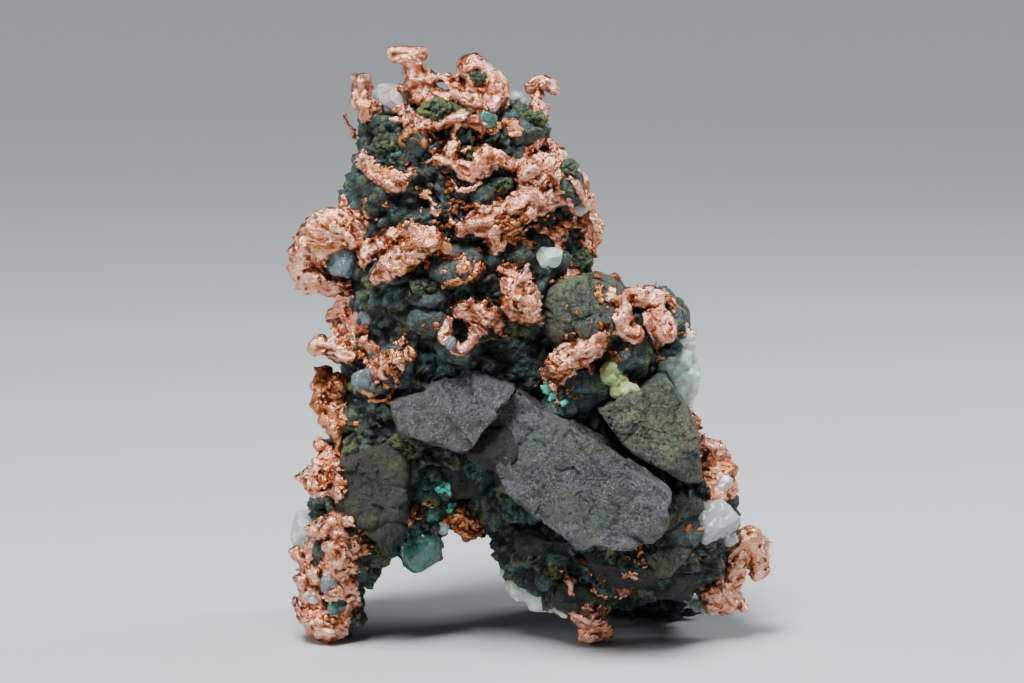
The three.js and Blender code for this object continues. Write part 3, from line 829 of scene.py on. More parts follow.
def scattered(relief, centre, spread, count, seed, low, high):
    """Small angular grains on a surface: `count` places drawn round a centre of (across, up), each a
    four by six grid of seeded reach, stretched up to three times one way and turned at random."""
    draw = np.random.default_rng(seed)
    place = np.array(centre) + draw.normal(size=(3 * count, 2)) * np.array(spread)
    flat = np.stack([place[:, 0], 0 * place[:, 0], place[:, 1]], -1)
    cluster = layered_noise(flat, 2.2, seed, 2)
    place = place[np.argsort(-cluster, kind="stable")[:count]]
    place = place[relief.seen[relief.cell(place[:, 0], place[:, 1])]]
    count = len(place)
    size = low + (high - low) * draw.uniform(0, 1, count) ** 2.2
    way = directions(4, 6)
    grid = way[None] * draw.uniform(0.6, 1.25, (count, 5, 6, 1)) * size[:, None, None, None]
    grid[:, 0] = grid[:, :1, :1].mean(axis=2)
    grid[:, -1] = grid[:, -1:, :1].mean(axis=2)
    grid = grid * draw.uniform(0.6, 3.0, (count, 1, 1, 3))
    turns, _ = np.linalg.qr(draw.normal(size=(count, 3, 3)))
    grid = np.einsum("nrcj,nkj->nrck", grid, turns)
    depth = relief.at(place[:, 0], place[:, 1])
    middle = np.stack([place[:, 0], depth, place[:, 1]], -1)
    ahead = (turned(middle, -relief.quarter)[:, 1] < GRAINS_FROM) & (relief.quarter != FORE)
    dropped = bare(relief, place[:, 0], place[:, 1]) | (depth > FAR_BEHIND) | ahead
    grid = turned(grid + middle[:, None, None], -relief.quarter)
    hollow = np.clip(draw.normal(0.35, 0.25, count), 0, 1)
    kept = zip(grid[~dropped], hollow[~dropped])
    return [(points, {"hollow": np.full((5, 6), mark)}) for points, mark in kept]


# Thick copper of each growth: limbs as (knots, radii) and lumps as (middle, half-lengths).
GROWTHS = {
    "crown_copper": [
        ("limb", [[-13.9, -3, 59], [-12.4, -3, 58.5], [-11, -3, 58.4], [-9.7, -3, 58.9]],
         [0.5, 0.8, 1, 0.7]),
        ("limb", [[-11.4, -3, 58.4], [-11, -2.9, 56.4], [-9.4, -3.6, 54]], [0.9, 1.0, 1.6]),
        ("limb", [[-15.9, -3, 56.9], [-16.2, -3, 54.6], [-14.8, -3.4, 52.2]], [0.8, 1.1, 1.3]),
        ("limb", [[-15.2, -3.4, 52.5], [-11, -5.8, 52.3], [-6, -6.2, 52.6], [-2.6, -5.8, 51.2]],
         [0.4, 0.4, 0.8, 0.7]),
        ("limb", [[-10.2, -3.9, 54], [-6.4, -4.7, 54.2], [-3, -4.8, 52.8]], [1.2, 1.0, 0.9]),
        ("limb", [[-5.6, -2.6, 58.8], [-5.3, -2.6, 56.8], [-4.2, -4, 53.8]], [1.3, 1.6, 1.3]),
        ("limb", [[-2.9, -3.4, 57], [-3, -3.8, 55], [-3.2, -4.6, 52.8]], [1, 1.4, 1.2]),
    ],
    "hooked_sprig_copper": [
        ("limb", [[-0.2, 2, 54.9], [1.4, 2, 55.7], [3.2, 2, 54.5]], [0.6, 0.7, 0.6]),
        ("limb", [[1.4, 2, 55.4], [1, 1.4, 53.9], [1.2, 0.4, 51.6]], [0.6, 0.8, 1.2]),
    ],
    "upper_band_copper": [
        ("limb", [[-7.2, -6.9, 50.2], [-7, -7.1, 48.6], [-5, -7.4, 47.8], [-3, -7, 48.7],
                  [-1.3, -6, 47.9]], [0.8, 1, 1.1, 1.3, 1]),
    ],
    "left_stripe_copper": [
        ("limb", [[-16.4, -3.2, 48.4], [-14.2, -5.3, 47.2], [-11.6, -7.4, 46]], [1, 1.2, 1.1]),
    ],
    "shoulder_mass_copper": [
        ("lump", (0.7, -6.4, 46.2), (2.6, 2.1, 3.2)),
        ("limb", [[0.6, -7, 44.8], [-2.4, -8, 42.9], [-6.2, -8.2, 42.2]], [2.1, 1.8, 1.1]),
        ("limb", [[-1.8, -7.8, 42.8], [-3.1, -8.3, 40.1]], [1.3, 1.2]),
    ],
    "right_rim_copper": [
        ("limb", [[2.4, -4.4, 49.2], [4.8, -4, 46.2], [6, -3.3, 42.2], [5.6, -3.4, 38]],
         [0.8, 1.3, 1.4, 0.9]),
    ],
    "left_arm_copper": [
        ("limb", [[-14.8, -4.6, 41.2], [-18.6, -4.6, 42.1], [-21, -4, 40.8], [-21.8, -3.8, 38.6],
                  [-20.7, -3.6, 36.6], [-16.6, -2.8, 35.4]], [1.2, 1.6, 1.5, 1.4, 1.4, 1.1]),
        ("limb", [[-15.8, -4.9, 40.6], [-18.4, -5, 41], [-20.3, -4.4, 39.6], [-20.4, -4, 37.8]],
         [0.9, 1.2, 1.1, 0.8]),
    ],
    "tongue_copper": [
        ("limb", [[-15.2, -6.6, 36.9], [-13.2, -8.1, 38.5], [-10.6, -8.7, 40.2], [-8.2, -8.4, 41.2]],
         [1.1, 1.5, 1.7, 1.3]),
    ],
    "face_centre_copper": [
        ("limb", [[-1.6, -8.2, 38], [-0.8, -8.4, 35.8], [0.8, -8.2, 33]], [1.6, 2.2, 1.8]),
    ],
    "face_ring_copper": [
        ("limb", [[-7.4, -8.7, 34], [-5.5, -8.9, 34.2], [-3.2, -8.8, 33.2]], [0.9, 1.1, 1.4]),
        ("limb", [[-7.3, -8.7, 33.7], [-7.9, -9.3, 31.9], [-6.5, -9.6, 30.5], [-5.1, -9.2, 31.9],
                  [-4.9, -8.8, 33.6]], [0.8, 0.8, 0.8, 0.8, 0.8]),
    ],
    "lower_face_copper": [
        ("limb", [[8, -6.8, 31.4], [5.4, -7.7, 30.2], [3, -8, 28.4], [2.5, -7.6, 25.8]],
         [1.3, 2, 1.9, 0.8]),
    ],
    "right_shoulder_copper": [
        ("limb", [[8.4, -5.6, 34.8], [11.6, -3.8, 35], [14, -2.8, 34.2]], [1.1, 1.4, 1.1]),
        ("limb", [[9.2, -5.9, 34.8], [9.6, -6.3, 32.4], [11.4, -6.3, 31.2]], [1.3, 1.5, 1]),
        ("limb", [[12.4, -4, 34.6], [13.3, -5.6, 32.8], [13.6, -5.9, 30.6]], [1, 1.2, 1]),
    ],
    "left_knob_copper": [
        ("limb", [[-21.2, -3.6, 30.5], [-19, -3.6, 30], [-15.6, -3.6, 29.5]], [1, 1.5, 1.3]),
    ],
    "left_edge_copper": [
        ("limb", [[-18.8, -2.6, 27.4], [-19.1, -2.8, 24.8], [-18.6, -3.4, 22.2], [-18.6, -3.2, 20]],
         [1.4, 2.2, 1.7, 1.4]),
    ],
    "lower_left_knob_copper": [
        ("limb", [[-20.6, -2.6, 14.6], [-20.5, -3, 16.8], [-19.4, -2.8, 19.6]], [1.7, 2.2, 1.1]),
    ],
    "left_foot_copper": [
        ("limb", [[-19, -4.4, 13.6], [-18.4, -4.2, 9.4], [-19, -3.2, 4]], [2, 2.8, 2.5]),
        ("limb", [[-21, -3, 11], [-21.3, -2.8, 7.4], [-20.8, -2.4, 3.6]], [1.3, 2.1, 2.3]),
        ("lump", (-20.1, -2.4, 2.4), (3.2, 3, 2.9)),
    ],
    "arch_copper": [
        ("limb", [[-8, -3.6, 14.6], [-6.6, -3.4, 13], [-4.6, -2.6, 11.2]], [1.4, 2, 1.6]),
    ],
    "centre_foot_copper": [
        ("limb", [[4.2, -6.8, 7.6], [5, -6, 4.6], [6.4, -5, 2.2]], [1, 1.2, 1.8]),
        ("lump", (6.9, -4.6, 1.5), (2.2, 2, 1.9)),
    ],
    "right_edge_copper": [
        ("limb", [[16.4, -1.2, 19.4], [18.6, -1, 19.5], [19.9, -1.2, 18.2]], [1, 1, 0.7]),
        ("limb", [[19.4, -1.2, 18.6], [19.4, -2.2, 16.4], [18.8, -3, 14]], [0.8, 1.6, 1.3]),
    ],
    "right_tip_copper": [
        ("limb", [[17.6, -0.8, 4.4], [19.4, -1.4, 4.6], [21, -1.9, 5]], [1.9, 2.1, 1.7]),
        ("limb", [[20.4, -1.8, 4.6], [21, -2, 8], [22.2, -1.8, 10.6], [23.3, -1.6, 8.4], [23, -1.6, 5.8]],
         [1.4, 1.2, 1, 0.9, 0.7]),
    ],
}


# Each stroke is a strip of copper on the rock's front: places of (across, up, half width).
STROKES = {
    "crown_copper": [
        [(-12.4, 55, 0.7), (-11.2, 56.5, 1), (-9.5, 56.8, 0.9), (-7.4, 56, 0.9),
         (-6.2, 54.9, 1), (-4.8, 54.2, 0.7)],
        [(-12.8, 53.4, 0.6), (-11, 52.7, 0.8), (-9.5, 51.7, 0.7), (-8.1, 52, 0.8),
         (-6.7, 52.7, 0.8), (-5.6, 53.7, 0.6)],
        [(-16.1, 56.3, 0.6), (-16.3, 54.7, 0.8), (-15.7, 53.3, 0.9), (-15.9, 51.6, 0.6)],
        [(-15.7, 53.3, 0.8), (-14.3, 53.7, 0.7), (-13.3, 54.3, 0.6), (-12.3, 55, 0.6)],
        [(-17.9, 52.5, 0.4), (-17.6, 51.4, 0.3), (-17.1, 50.2, 0.3)],
        [(-6.2, 57.3, 0.8), (-4.8, 57.6, 0.9), (-3.4, 56.7, 0.8), (-2.7, 55.7, 0.8),
         (-2.6, 54.5, 0.9), (-3.8, 54, 0.6)],
        [(-4.8, 54, 0.6), (-4.4, 52.8, 0.6), (-4, 51.4, 0.4)],
        [(-6.4, 52.8, 0.6), (-6.8, 51, 0.5), (-7.3, 49.8, 0.4), (-7.4, 48.8, 0.5)],
        [(-9.5, 56.7, 0.6), (-8.9, 55.3, 0.6), (-7.9, 54.3, 0.5)],
        [(-12.6, 54.7, 0.5), (-12, 54, 0.6), (-12.4, 53.2, 0.6)],
    ],
    "upper_band_copper": [
        [(-8.9, 49, 0.5), (-7.4, 48.4, 0.8), (-6, 47.5, 0.8), (-5, 47.5, 0.6)],
        [(-5.2, 47.4, 0.6), (-3.9, 49.3, 1), (-2.6, 48.6, 0.9), (-1.6, 48, 0.6), (0, 49.3, 0.5)],
        [(-11.4, 47.4, 0.3), (-10.1, 48.2, 0.3), (-8.8, 48.7, 0.3)],
        [(-4, 47.5, 0.4), (-3.1, 47.1, 0.4)],
    ],
    "left_stripe_copper": [
        [(-16.3, 48.9, 0.6), (-15.4, 47.6, 0.7), (-13.9, 46.5, 0.8), (-12.8, 45.5, 0.5)],
        [(-13.7, 47.1, 0.5), (-12.6, 47.1, 0.6), (-11.3, 46.7, 0.4)],
        [(-13.6, 45.7, 0.4), (-12.6, 44.2, 0.5), (-11.5, 43.4, 0.5), (-11.7, 42.4, 0.3)],
        [(-9.4, 44.7, 0.4), (-8.9, 43.6, 0.4)],
        [(-7.7, 46.9, 0.3), (-6.4, 46.1, 0.3), (-4.8, 46.5, 0.3)],
    ],
    "shoulder_mass_copper": [
        [(2.4, 48.7, 0.8), (2.7, 46.6, 1.2), (2.3, 44.4, 1.1), (0.2, 43.8, 0.8)],
        [(-2.8, 46.1, 0.5), (-0.9, 47.3, 1), (1.2, 48.4, 1)],
        [(1.2, 45.8, 1), (0, 45.3, 1.2), (-1.5, 44.5, 1.1), (-3.4, 43.9, 1),
         (-5.6, 42.5, 1.1), (-6.3, 41.4, 0.7)],
        [(-4.4, 42.3, 0.8), (-3, 41.4, 0.8), (-2.6, 40.2, 0.5)],
        [(-4, 40.8, 0.5), (-3, 39.7, 0.6), (-2.5, 38.9, 0.4)],
        [(-1.2, 40.4, 0.5), (-0.2, 41.5, 0.5), (1.3, 41.7, 0.5), (2.8, 41.2, 0.6), (3.2, 40, 0.4)],
    ],
    "right_rim_copper": [
        [(0.6, 49.7, 0.4), (2.1, 50.3, 0.5), (3.3, 49.1, 0.5), (4.1, 47.8, 0.4), (4.8, 46.4, 0.5)],
        [(4.8, 46.6, 0.5), (5.1, 45.4, 0.5), (5.7, 44.3, 0.5)],
        [(5.7, 44.3, 0.5), (6.3, 42.8, 0.6), (6.9, 41.1, 0.6), (6.5, 39.1, 0.5)],
        [(3.8, 44.6, 0.4), (4.5, 42.8, 0.5), (5.5, 41.4, 0.6), (5.4, 39.6, 0.6), (4.3, 38.6, 0.4)],
        [(2.8, 38.6, 0.4), (3.6, 37.6, 0.5), (5.2, 38, 0.4)],
    ],
    "left_arm_copper": [
        [(-18.7, 41.9, 0.8), (-17.1, 40.7, 0.8), (-16.6, 39.1, 0.6), (-16.2, 38.2, 0.5)],
        [(-18.5, 37.5, 0.5), (-17.2, 37.8, 0.6), (-15.8, 38, 0.5)],
        [(-18.2, 36.6, 0.4), (-17.4, 36.1, 0.4)],
    ],
    "tongue_copper": [
        [(-15.9, 38.5, 0.8), (-14.7, 40.4, 1.2), (-12.2, 41.6, 1.2), (-10.3, 41.6, 1.1), (-8.4, 41, 0.6)],
        [(-13.6, 37.9, 0.4), (-13.3, 36.7, 0.4)],
        [(-12.2, 36.9, 0.6), (-11.8, 35.6, 0.5)],
        [(-18.1, 44.3, 0.5), (-16.6, 43.6, 0.7), (-15, 42.8, 0.5)],
    ],
    "face_centre_copper": [
        [(0, 38.3, 0.7), (-0.6, 36.4, 1.1), (0.2, 34.4, 1.1), (1.3, 32.7, 0.7)],
        [(-2.5, 35.2, 0.5), (-1.2, 34, 0.9), (0.1, 33.5, 0.7)],
        [(-3.8, 34.3, 0.6), (-2.9, 33.3, 0.8), (-2.4, 31.9, 0.6)],
        [(-0.1, 37.4, 0.5), (1.2, 37.9, 0.5), (2.5, 38.7, 0.4)],
        [(-4.8, 37.9, 0.3), (-3.6, 38.3, 0.4), (-2.7, 38.9, 0.3)],
    ],
    "face_ring_copper": [
        [(-7.3, 34.7, 0.6), (-5.8, 35, 0.8), (-4.4, 34.3, 0.7), (-3.9, 32.9, 0.6)],
        [(-6.3, 33.1, 0.5), (-5.2, 32.6, 0.6), (-4, 32.3, 0.5)],
    ],
    "lower_face_copper": [
        [(7.6, 31.5, 0.6), (5.9, 30.5, 1), (3.6, 30.1, 0.9)],
        [(4.5, 29.3, 0.9), (2.4, 28.3, 1), (0.8, 27.1, 0.7)],
        [(2.4, 27, 0.6), (2.8, 25.1, 0.4)],
        [(5.4, 29.3, 0.5), (6.3, 28.4, 0.4)],
    ],
    "right_shoulder_copper": [
        [(8, 35.6, 0.6), (9.5, 34.9, 0.9), (9.1, 32.7, 0.8), (10.7, 31.5, 0.7)],
        [(11, 35.2, 0.7), (13, 35, 0.8), (14.4, 33.9, 0.5)],
        [(12, 33.3, 0.7), (12.6, 31.1, 0.8), (13.1, 29.3, 0.5)],
        [(13.8, 33.1, 0.4), (14.6, 31.1, 0.4)],
        [(8.9, 27.2, 0.4), (10.3, 26.8, 0.4)],
    ],
    "left_knob_copper": [
        [(-18.3, 34.8, 0.5), (-18, 33.2, 0.6), (-18.2, 31.6, 0.5)],
        [(-17, 34.6, 0.4), (-16.6, 33.2, 0.5), (-16.9, 32.2, 0.4)],
        [(-16, 30.8, 0.6), (-15, 29.4, 0.9), (-14.4, 27.6, 0.6)],
        [(-21.2, 30.3, 0.8), (-19.2, 29.7, 1.1), (-17.1, 29.1, 0.8)],
        [(-19.6, 32.6, 0.4), (-17.9, 34.3, 0.5), (-16.4, 34.7, 0.4)],
        [(-17, 33.6, 0.5), (-16.8, 30.8, 0.5)],
        [(-15.7, 31.4, 0.7), (-15.3, 29.6, 0.8), (-14.7, 27.5, 0.3)],
        [(-12.7, 29.4, 0.5), (-11.9, 28.7, 0.4)],
        [(-12.7, 31.1, 0.2), (-10.9, 31, 0.3)],
        [(-19.2, 31.8, 0.4), (-18.4, 32.8, 0.4)],
    ],
    "left_edge_copper": [
        [(-20.1, 27.2, 0.8), (-20.7, 24.4, 1.1), (-19.2, 21.7, 0.7)],
        [(-19.1, 26.8, 0.6), (-17.8, 25, 0.6)],
        [(-18.4, 21.5, 0.2), (-18.6, 19.1, 0.3)],
        [(-19.9, 23.8, 0.7), (-18.3, 22.7, 0.6)],
    ],
    "lower_left_knob_copper": [
        [(-20.6, 20.1, 0.4), (-19.2, 18.7, 0.6)],
        [(-22.2, 17.1, 0.9), (-20.6, 15.4, 1), (-18.5, 16.1, 0.7)],
        [(-20.8, 18.3, 0.6), (-21.8, 16.5, 0.8)],
    ],
    "left_foot_copper": [
        [(-21.4, 11.5, 0.8), (-19.2, 13.2, 1.1), (-17.4, 13, 0.7)],
        [(-23.2, 9.2, 0.7), (-21.8, 8, 0.8), (-21.2, 6.7, 0.6)],
        [(-19.2, 10.2, 0.8), (-18.2, 7.9, 1.1), (-17.2, 6.7, 0.7)],
        [(-23.3, 3.9, 0.7), (-21.7, 2.4, 0.9), (-18.9, 1.3, 0.7)],
        [(-17.4, 4.3, 0.7), (-18, 2.4, 0.7)],
        [(-19.8, 4.6, 0.6), (-18.5, 6, 0.7)],
        [(-22.5, 6.4, 0.5), (-22.3, 4.6, 0.5)],
        [(-14.6, 10.5, 0.3), (-13.2, 10.2, 0.4), (-12.3, 10.8, 0.3)],
        [(-17, 11.3, 0.4), (-16.4, 10.5, 0.4)],
    ],
    "arch_copper": [
        [(-7.6, 13.2, 0.6), (-6.1, 13.6, 0.9), (-4.8, 12.6, 0.8)],
        [(-6.9, 11.7, 0.6), (-5.7, 11.2, 0.8), (-4.4, 10.9, 0.6)],
        [(-8.3, 12.5, 0.3), (-7.1, 11.7, 0.3)],
        [(-8.8, 11.1, 0.3), (-8.9, 8.5, 0.4)],
        [(-3, 8.3, 0.4), (-1.9, 7.4, 0.4), (-0.7, 6, 0.4)],
        [(-11.2, 14.1, 0.3), (-11.5, 12.8, 0.3)],
    ],
    "centre_foot_copper": [
        [(3.5, 8, 0.4), (4.3, 6.3, 0.7), (4.3, 4.7, 0.6)],
        [(4.7, 3.7, 0.7), (6.2, 3.3, 1.2), (8, 3.7, 0.8)],
        [(0.5, 9.3, 0.3), (2.6, 8.9, 0.3)],
        [(9.3, 7.5, 0.4), (9.6, 5.3, 0.4)],
        [(10.6, 7.9, 0.6), (12, 6.6, 0.7)],
    ],
    "right_edge_copper": [
        [(17.6, 20.1, 0.7), (19.4, 18.9, 0.6)],
        [(18.4, 17.5, 0.8), (19, 15.7, 1.1), (17.8, 14.1, 0.9)],
    ],
    "right_tip_copper": [
        [(15.5, 8.4, 0.4), (17.8, 7.7, 0.6), (19.5, 6.3, 0.8)],
        [(19.5, 6.1, 0.8), (21.1, 4.3, 0.9), (21.9, 3, 0.6)],
        [(14.3, 6.3, 0.3), (15.7, 5.7, 0.3)],
        [(17.3, 4.3, 0.3), (18.9, 3.6, 0.3)],
    ],
}

# How thick the thick copper is left under its strips, beside USUAL_GIRTH, and which is tarnished.
USUAL_GIRTH = 0.78
GIRTHS = {
    "crown_copper": 1,
    "hooked_sprig_copper": 1,
    "left_arm_copper": 1.12,
    "right_tip_copper": 1.1,
    "left_edge_copper": 0.5,
    "lower_left_knob_copper": 0.7,
}
TARNISHED = ("left_edge_copper", "arch_copper")
cores = {}
for order, (node, growths) in enumerate(GROWTHS.items()):
    cores[node] = []
    girth = GIRTHS.get(node, USUAL_GIRTH)
    for place, (kind, first, second) in enumerate(growths):
        seed = 200 + 31 * order + 7 * place
        maker = copper_limb if kind == "limb" else copper_lump
        cores[node].append(maker(first, second, seed, girth))

rock_shells = [slab, shoulder, right_block, plate, round_block]
rock_shells += [*column_shells, *body_shells, *leg_shells, *stones]
clouds = [points for points, _ in rock_shells]
clouds += [points for shells in cores.values() for points, _ in shells]
front, left, back, right = (Relief(clouds, quarter) for quarter in (FORE, LEFT, BACK, RIGHT))

for order, (node, shells) in enumerate(cores.items()):
    for place, stroke in enumerate(STROKES.get(node, ())):
        stroke = np.array(stroke)
        shells.append(skin(front, stroke[:, :2], stroke[:, 2], 700 + 41 * order + 5 * place))
    finish = DULL_COPPER if node in TARNISHED else COPPER
    make_piece(node.replace("_copper", "_growth"), shells, finish, [node])


def walk(draw, start, bend, stride, thickness):
    """A crooked path of four places from `start`, each turn drawn with spread `bend` and the step
    between the two values of `stride`, and three half widths between those of `thickness`."""
    turns = draw.uniform(0, 2 * np.pi) + np.cumsum(draw.normal(0, bend, 3))
    steps = draw.uniform(*stride) * np.stack([np.cos(turns), np.sin(turns)], -1)
    knots = start + np.vstack([[0, 0], np.cumsum(steps, axis=0)])
    return knots, draw.uniform(*thickness, 3)


def lace(relief, centre, spread, count, seed):
    """Filigree: many short crooked strips of copper, 0.8 to 3 mm long and under 0.6 mm wide, each a
    skin along a seeded walk, drawn where soft noise is high so that they gather in clumps."""
    draw = np.random.default_rng(seed)
    place = np.array(centre) + draw.normal(size=(4 * count, 2)) * np.array(spread)
    flat = np.stack([place[:, 0], 0 * place[:, 0], place[:, 1]], -1)
    clump = layered_noise(flat, 2.6, seed, 2) + draw.normal(0, 0.12, 4 * count)
    depth = relief.at(place[:, 0], place[:, 1])
    clump = clump - 9.0 * (depth > FAR_BEHIND)
    strips = []
    for place in place[np.argsort(-clump, kind="stable")[:count]]:
        knots, widths = walk(draw, place, 0.45, (0.25, 0.9), (0.14, 0.5))
        if relief.carries(knots, 0.25, 5) and not bare(relief, *place):
            strips.append(skin(relief, knots, widths, int(draw.integers(1, 9999)), 0.42, 0.19))
    return strips


# Where lace and grains gather on the front: middle (across, up), spread each way, and how many,
# with the least and greatest size for grains.
FRONT_LACE = (
    ((-7, 46), (6.5, 5), 46),
    ((-8, 37), (7, 3.5), 26),
    ((-16.8, 32.4), (1.5, 2.8), 54),
    ((-13.4, 30.6), (1.1, 1.6), 16),
    ((-18.4, 25), (1.0, 3.2), 54),
    ((-19, 17), (0.9, 2.6), 24),
    ((-18.5, 9), (2.6, 5), 18),
    ((9, 7), (9, 2.2), 30),
    ((3, 33), (6, 4), 12),
    ((-9, 13.4), (4, 2), 12),
    ((-12.2, 44.2), (1.5, 1.5), 30),
    ((-15.8, 42), (1.2, 1.8), 20),
    ((-12.6, 47.8), (1.6, 0.9), 8),
)
filigree = []
for order, (centre, spread, count) in enumerate(FRONT_LACE):
    filigree += lace(front, centre, spread, count, 860 + order)
make_piece("copper_filigree", filigree, DULL_COPPER)

side_filigree = []
for order, relief in enumerate((left, back, right)):
    side_filigree += lace(relief, (0, 28), (7, 14), 44, 880 + order)
make_piece("side_filigree", side_filigree, DULL_COPPER)

FRONT_DUST = (
    ((-6, 46), (7, 5.5), 420, 0.05, 0.22),
    ((-8, 38), (7, 4), 200, 0.05, 0.2),
    ((-17.4, 30), (2.2, 4.5), 200, 0.06, 0.24),
    ((-19, 8), (3, 5), 150, 0.06, 0.24),
    ((8, 7), (10, 2.5), 220, 0.06, 0.22),
    ((3, 33), (6, 4), 120, 0.05, 0.2),
    ((19, 9), (2.6, 4), 60, 0.06, 0.24),
    ((-8, 13), (5, 2.4), 90, 0.05, 0.2),
)
dust = []
for order, (centre, spread, count, low, high) in enumerate(FRONT_DUST):
    dust += scattered(front, centre, spread, count, 900 + order, low, high)
for order, relief in enumerate((left, back, right)):
    dust += scattered(relief, (0, 28), (8, 14), 320, 930 + order, 0.06, 0.24)
make_piece("copper_dust", dust, DULL_COPPER)

# Copper on the sides and back: seeded strips wandering over the rock, broad ones few.
SIDE_STRIPS = ((left, 70), (back, 90), (right, 40))
side_strips = []
draw = np.random.default_rng(77)
for relief, count in SIDE_STRIPS:
    for _ in range(count):
        start = np.array([draw.uniform(-12, 12), draw.uniform(4, 50)])
        knots, widths = walk(draw, start, 0.5, (0.9, 2.2), (0.5, 1.5))
        depth = relief.at(*start)
        behind = turned(np.array([start[0], depth, start[1]]), -relief.quarter)[1] > STRIPS_FROM
        nearest = min(relief.at(*knot) for knot in knots)
        high = relief.quarter == BACK and nearest < BACK_STRIPS
        if behind and not high and relief.carries(knots, 0.6, 6):
            side_strips.append(skin(relief, knots, widths, int(draw.integers(1, 9999)), 0.5, 0.26))
make_piece("side_strips", side_strips, COPPER)


# ---- crystals -------------------------------------------------------------------------------

def crystal(at, half, seed, faces, rows=40):
    """A crystal mass: an ellipsoid cut by flat faces, each a plane in a seeded direction at 0.6 to
    0.95 of its reach, then broken into shallow chips of 0.9 mm."""
    faces = [*faces, *seeded_cuts(half, 11, 0.6, 0.95, seed)]
    way = directions(rows, int(1.5 * rows))
    points = np.array(at) + way * block_reach(way, half, 2.4, faces, 60)[..., None]
    chip, _ = chips(points, 0.9, seed, 1.1, 0.15)
    return raised(points, 0.12 * chip + 0.12 * layered_noise(points, 1.2, seed, 3)), {}


# Crystals with a node of their own: node, middle, half-lengths, seed, finish, slot and flat faces.
CRYSTALS = (
    ("crown_crystal", (-13.1, -1.8, 54.5), (2.6, 2, 1.7), 98, MILKY, "milky_crystal",
     ((0.3, -0.6, 0.7, 1.3), (-0.7, -0.5, 0.5, 1.7))),
    ("sprig_crystal", (-1, 1.2, 53.8), (1.1, 1.2, 1.5), 92, MILKY, "milky_crystal",
     ((0.2, -0.3, 0.9, 1.1),)),
    ("arm_crystal", (-18, -4.6, 38.9), (1.9, 1.9, 1.9), 93, GREY_GLASS, "milky_crystal",
     ((-0.2, -0.9, 0.3, 1.2),)),
    ("foot_crystal", (-22.4, -1, 10.6), (1.7, 2.2, 2.4), 94, MILKY, "milky_crystal",
     ((-0.7, -0.6, 0.2, 1.4), (0, -0.4, 0.9, 1.8))),
    ("right_low_crystal", (18.5, -6, 13), (2.7, 2, 2.5), 95, MILKY, "milky_crystal",
     ((0.1, -0.8, 0.6, 1.4),)),
    ("arch_crystal", (-10.6, -3.6, 10), (2.2, 2.6, 2.8), 96, SEA_GREEN, "green_crystal",
     ((-0.2, -0.9, 0.3, 1.9), (0.4, -0.8, -0.3, 1.9))),
    ("cavity_crystal", (1.8, -6.5, 39.2), (1.7, 1.4, 1.0), 97, CRUST, "prehnite",
     ((0.1, -0.9, 0.3, 1.3),)),
)
for node, at, half, seed, finish, slot, faces in CRYSTALS:
    make_piece(node + "_body", [crystal(at, half, seed, faces)], finish, [node])


def seated(relief, across, up, half, seed, rows=32, sunk=0.62):
    """A clast set into the surface of `relief` at (across, up), its middle `sunk` of a half below."""
    at = (across, relief.nearest(across, up) + sunk * half[1], up)
    points, marks = cut_stone(at, half, seed, rows)
    return turned(points, -relief.quarter), marks


# Clasts under the slab's overhang and along the foot of the front, near black: painted shade.
SHADE_CLASTS = (
    (-6.4, 18.4, (4.6, 2.2, 3.6), 201),
    (-8.4, 14.8, (2.6, 1.8, 2.2), 202),
    (-2.6, 13.4, (3, 2, 2.6), 203),
    (-3.2, 20.6, (2.6, 2, 2.4), 209),
    (-0.4, 9.6, (2.6, 1.8, 2.2), 210),
    (2.2, 10, (3.6, 2, 2.2), 204),
    (9.4, 8.6, (4.4, 2.2, 2.4), 205),
    (14.8, 7, (3, 2, 2.2), 206),
    (-13.6, 12.4, (2, 1.6, 1.6), 207),
    (4.6, 5.4, (2.2, 1.6, 1.6), 208),
)
shade_painted_clasts = [seated(front, across, up, half, seed, 42) for across, up, half, seed in SHADE_CLASTS]
make_piece("shade_painted_clasts", shade_painted_clasts, SHADE_BASALT)

# The wedge below the right block, and clasts beside the slab.
FRONT_OLIVE = ((14.6, 13.6, (4.6, 2.6, 2.6), 221), (13.4, 9.4, (3, 2, 1.8), 222))
olive_clasts = [seated(front, across, up, half, seed, 56) for across, up, half, seed in FRONT_OLIVE]
make_piece("front_olive_clasts", olive_clasts, OLIVE)

# Clasts over the left side, the back and the right side, drawn by seed, well behind the front.
draw = np.random.default_rng(31)
side_clasts = {"grey": [], "olive": []}
for relief in (left, back, back, right):
    for _ in range(24):
        across, up = draw.uniform(-13, 13), draw.uniform(5, 52)
        half = draw.uniform(1.1, 3.2) * draw.uniform(0.7, 1.2, 3)
        depth = relief.nearest(across, up)
        behind = turned(np.array([across, depth, up]), -relief.quarter)[1] > CLASTS_FROM
        near = relief.carries([[across - 1, up], [across, up + 1], [across + 1, up - 1]], 0.6, 4)
        kind = "olive" if draw.uniform() < 0.4 else "grey"
        if behind and near and (depth > BACK_CLASTS or relief.quarter != BACK):
            clast = seated(relief, across, up, half, int(draw.integers(1, 9999)), 36, 0.4)
            side_clasts[kind].append(clast)
make_piece("side_grey_clasts", side_clasts["grey"], GREY_STONE)
make_piece("side_olive_clasts", side_clasts["olive"], OLIVE)


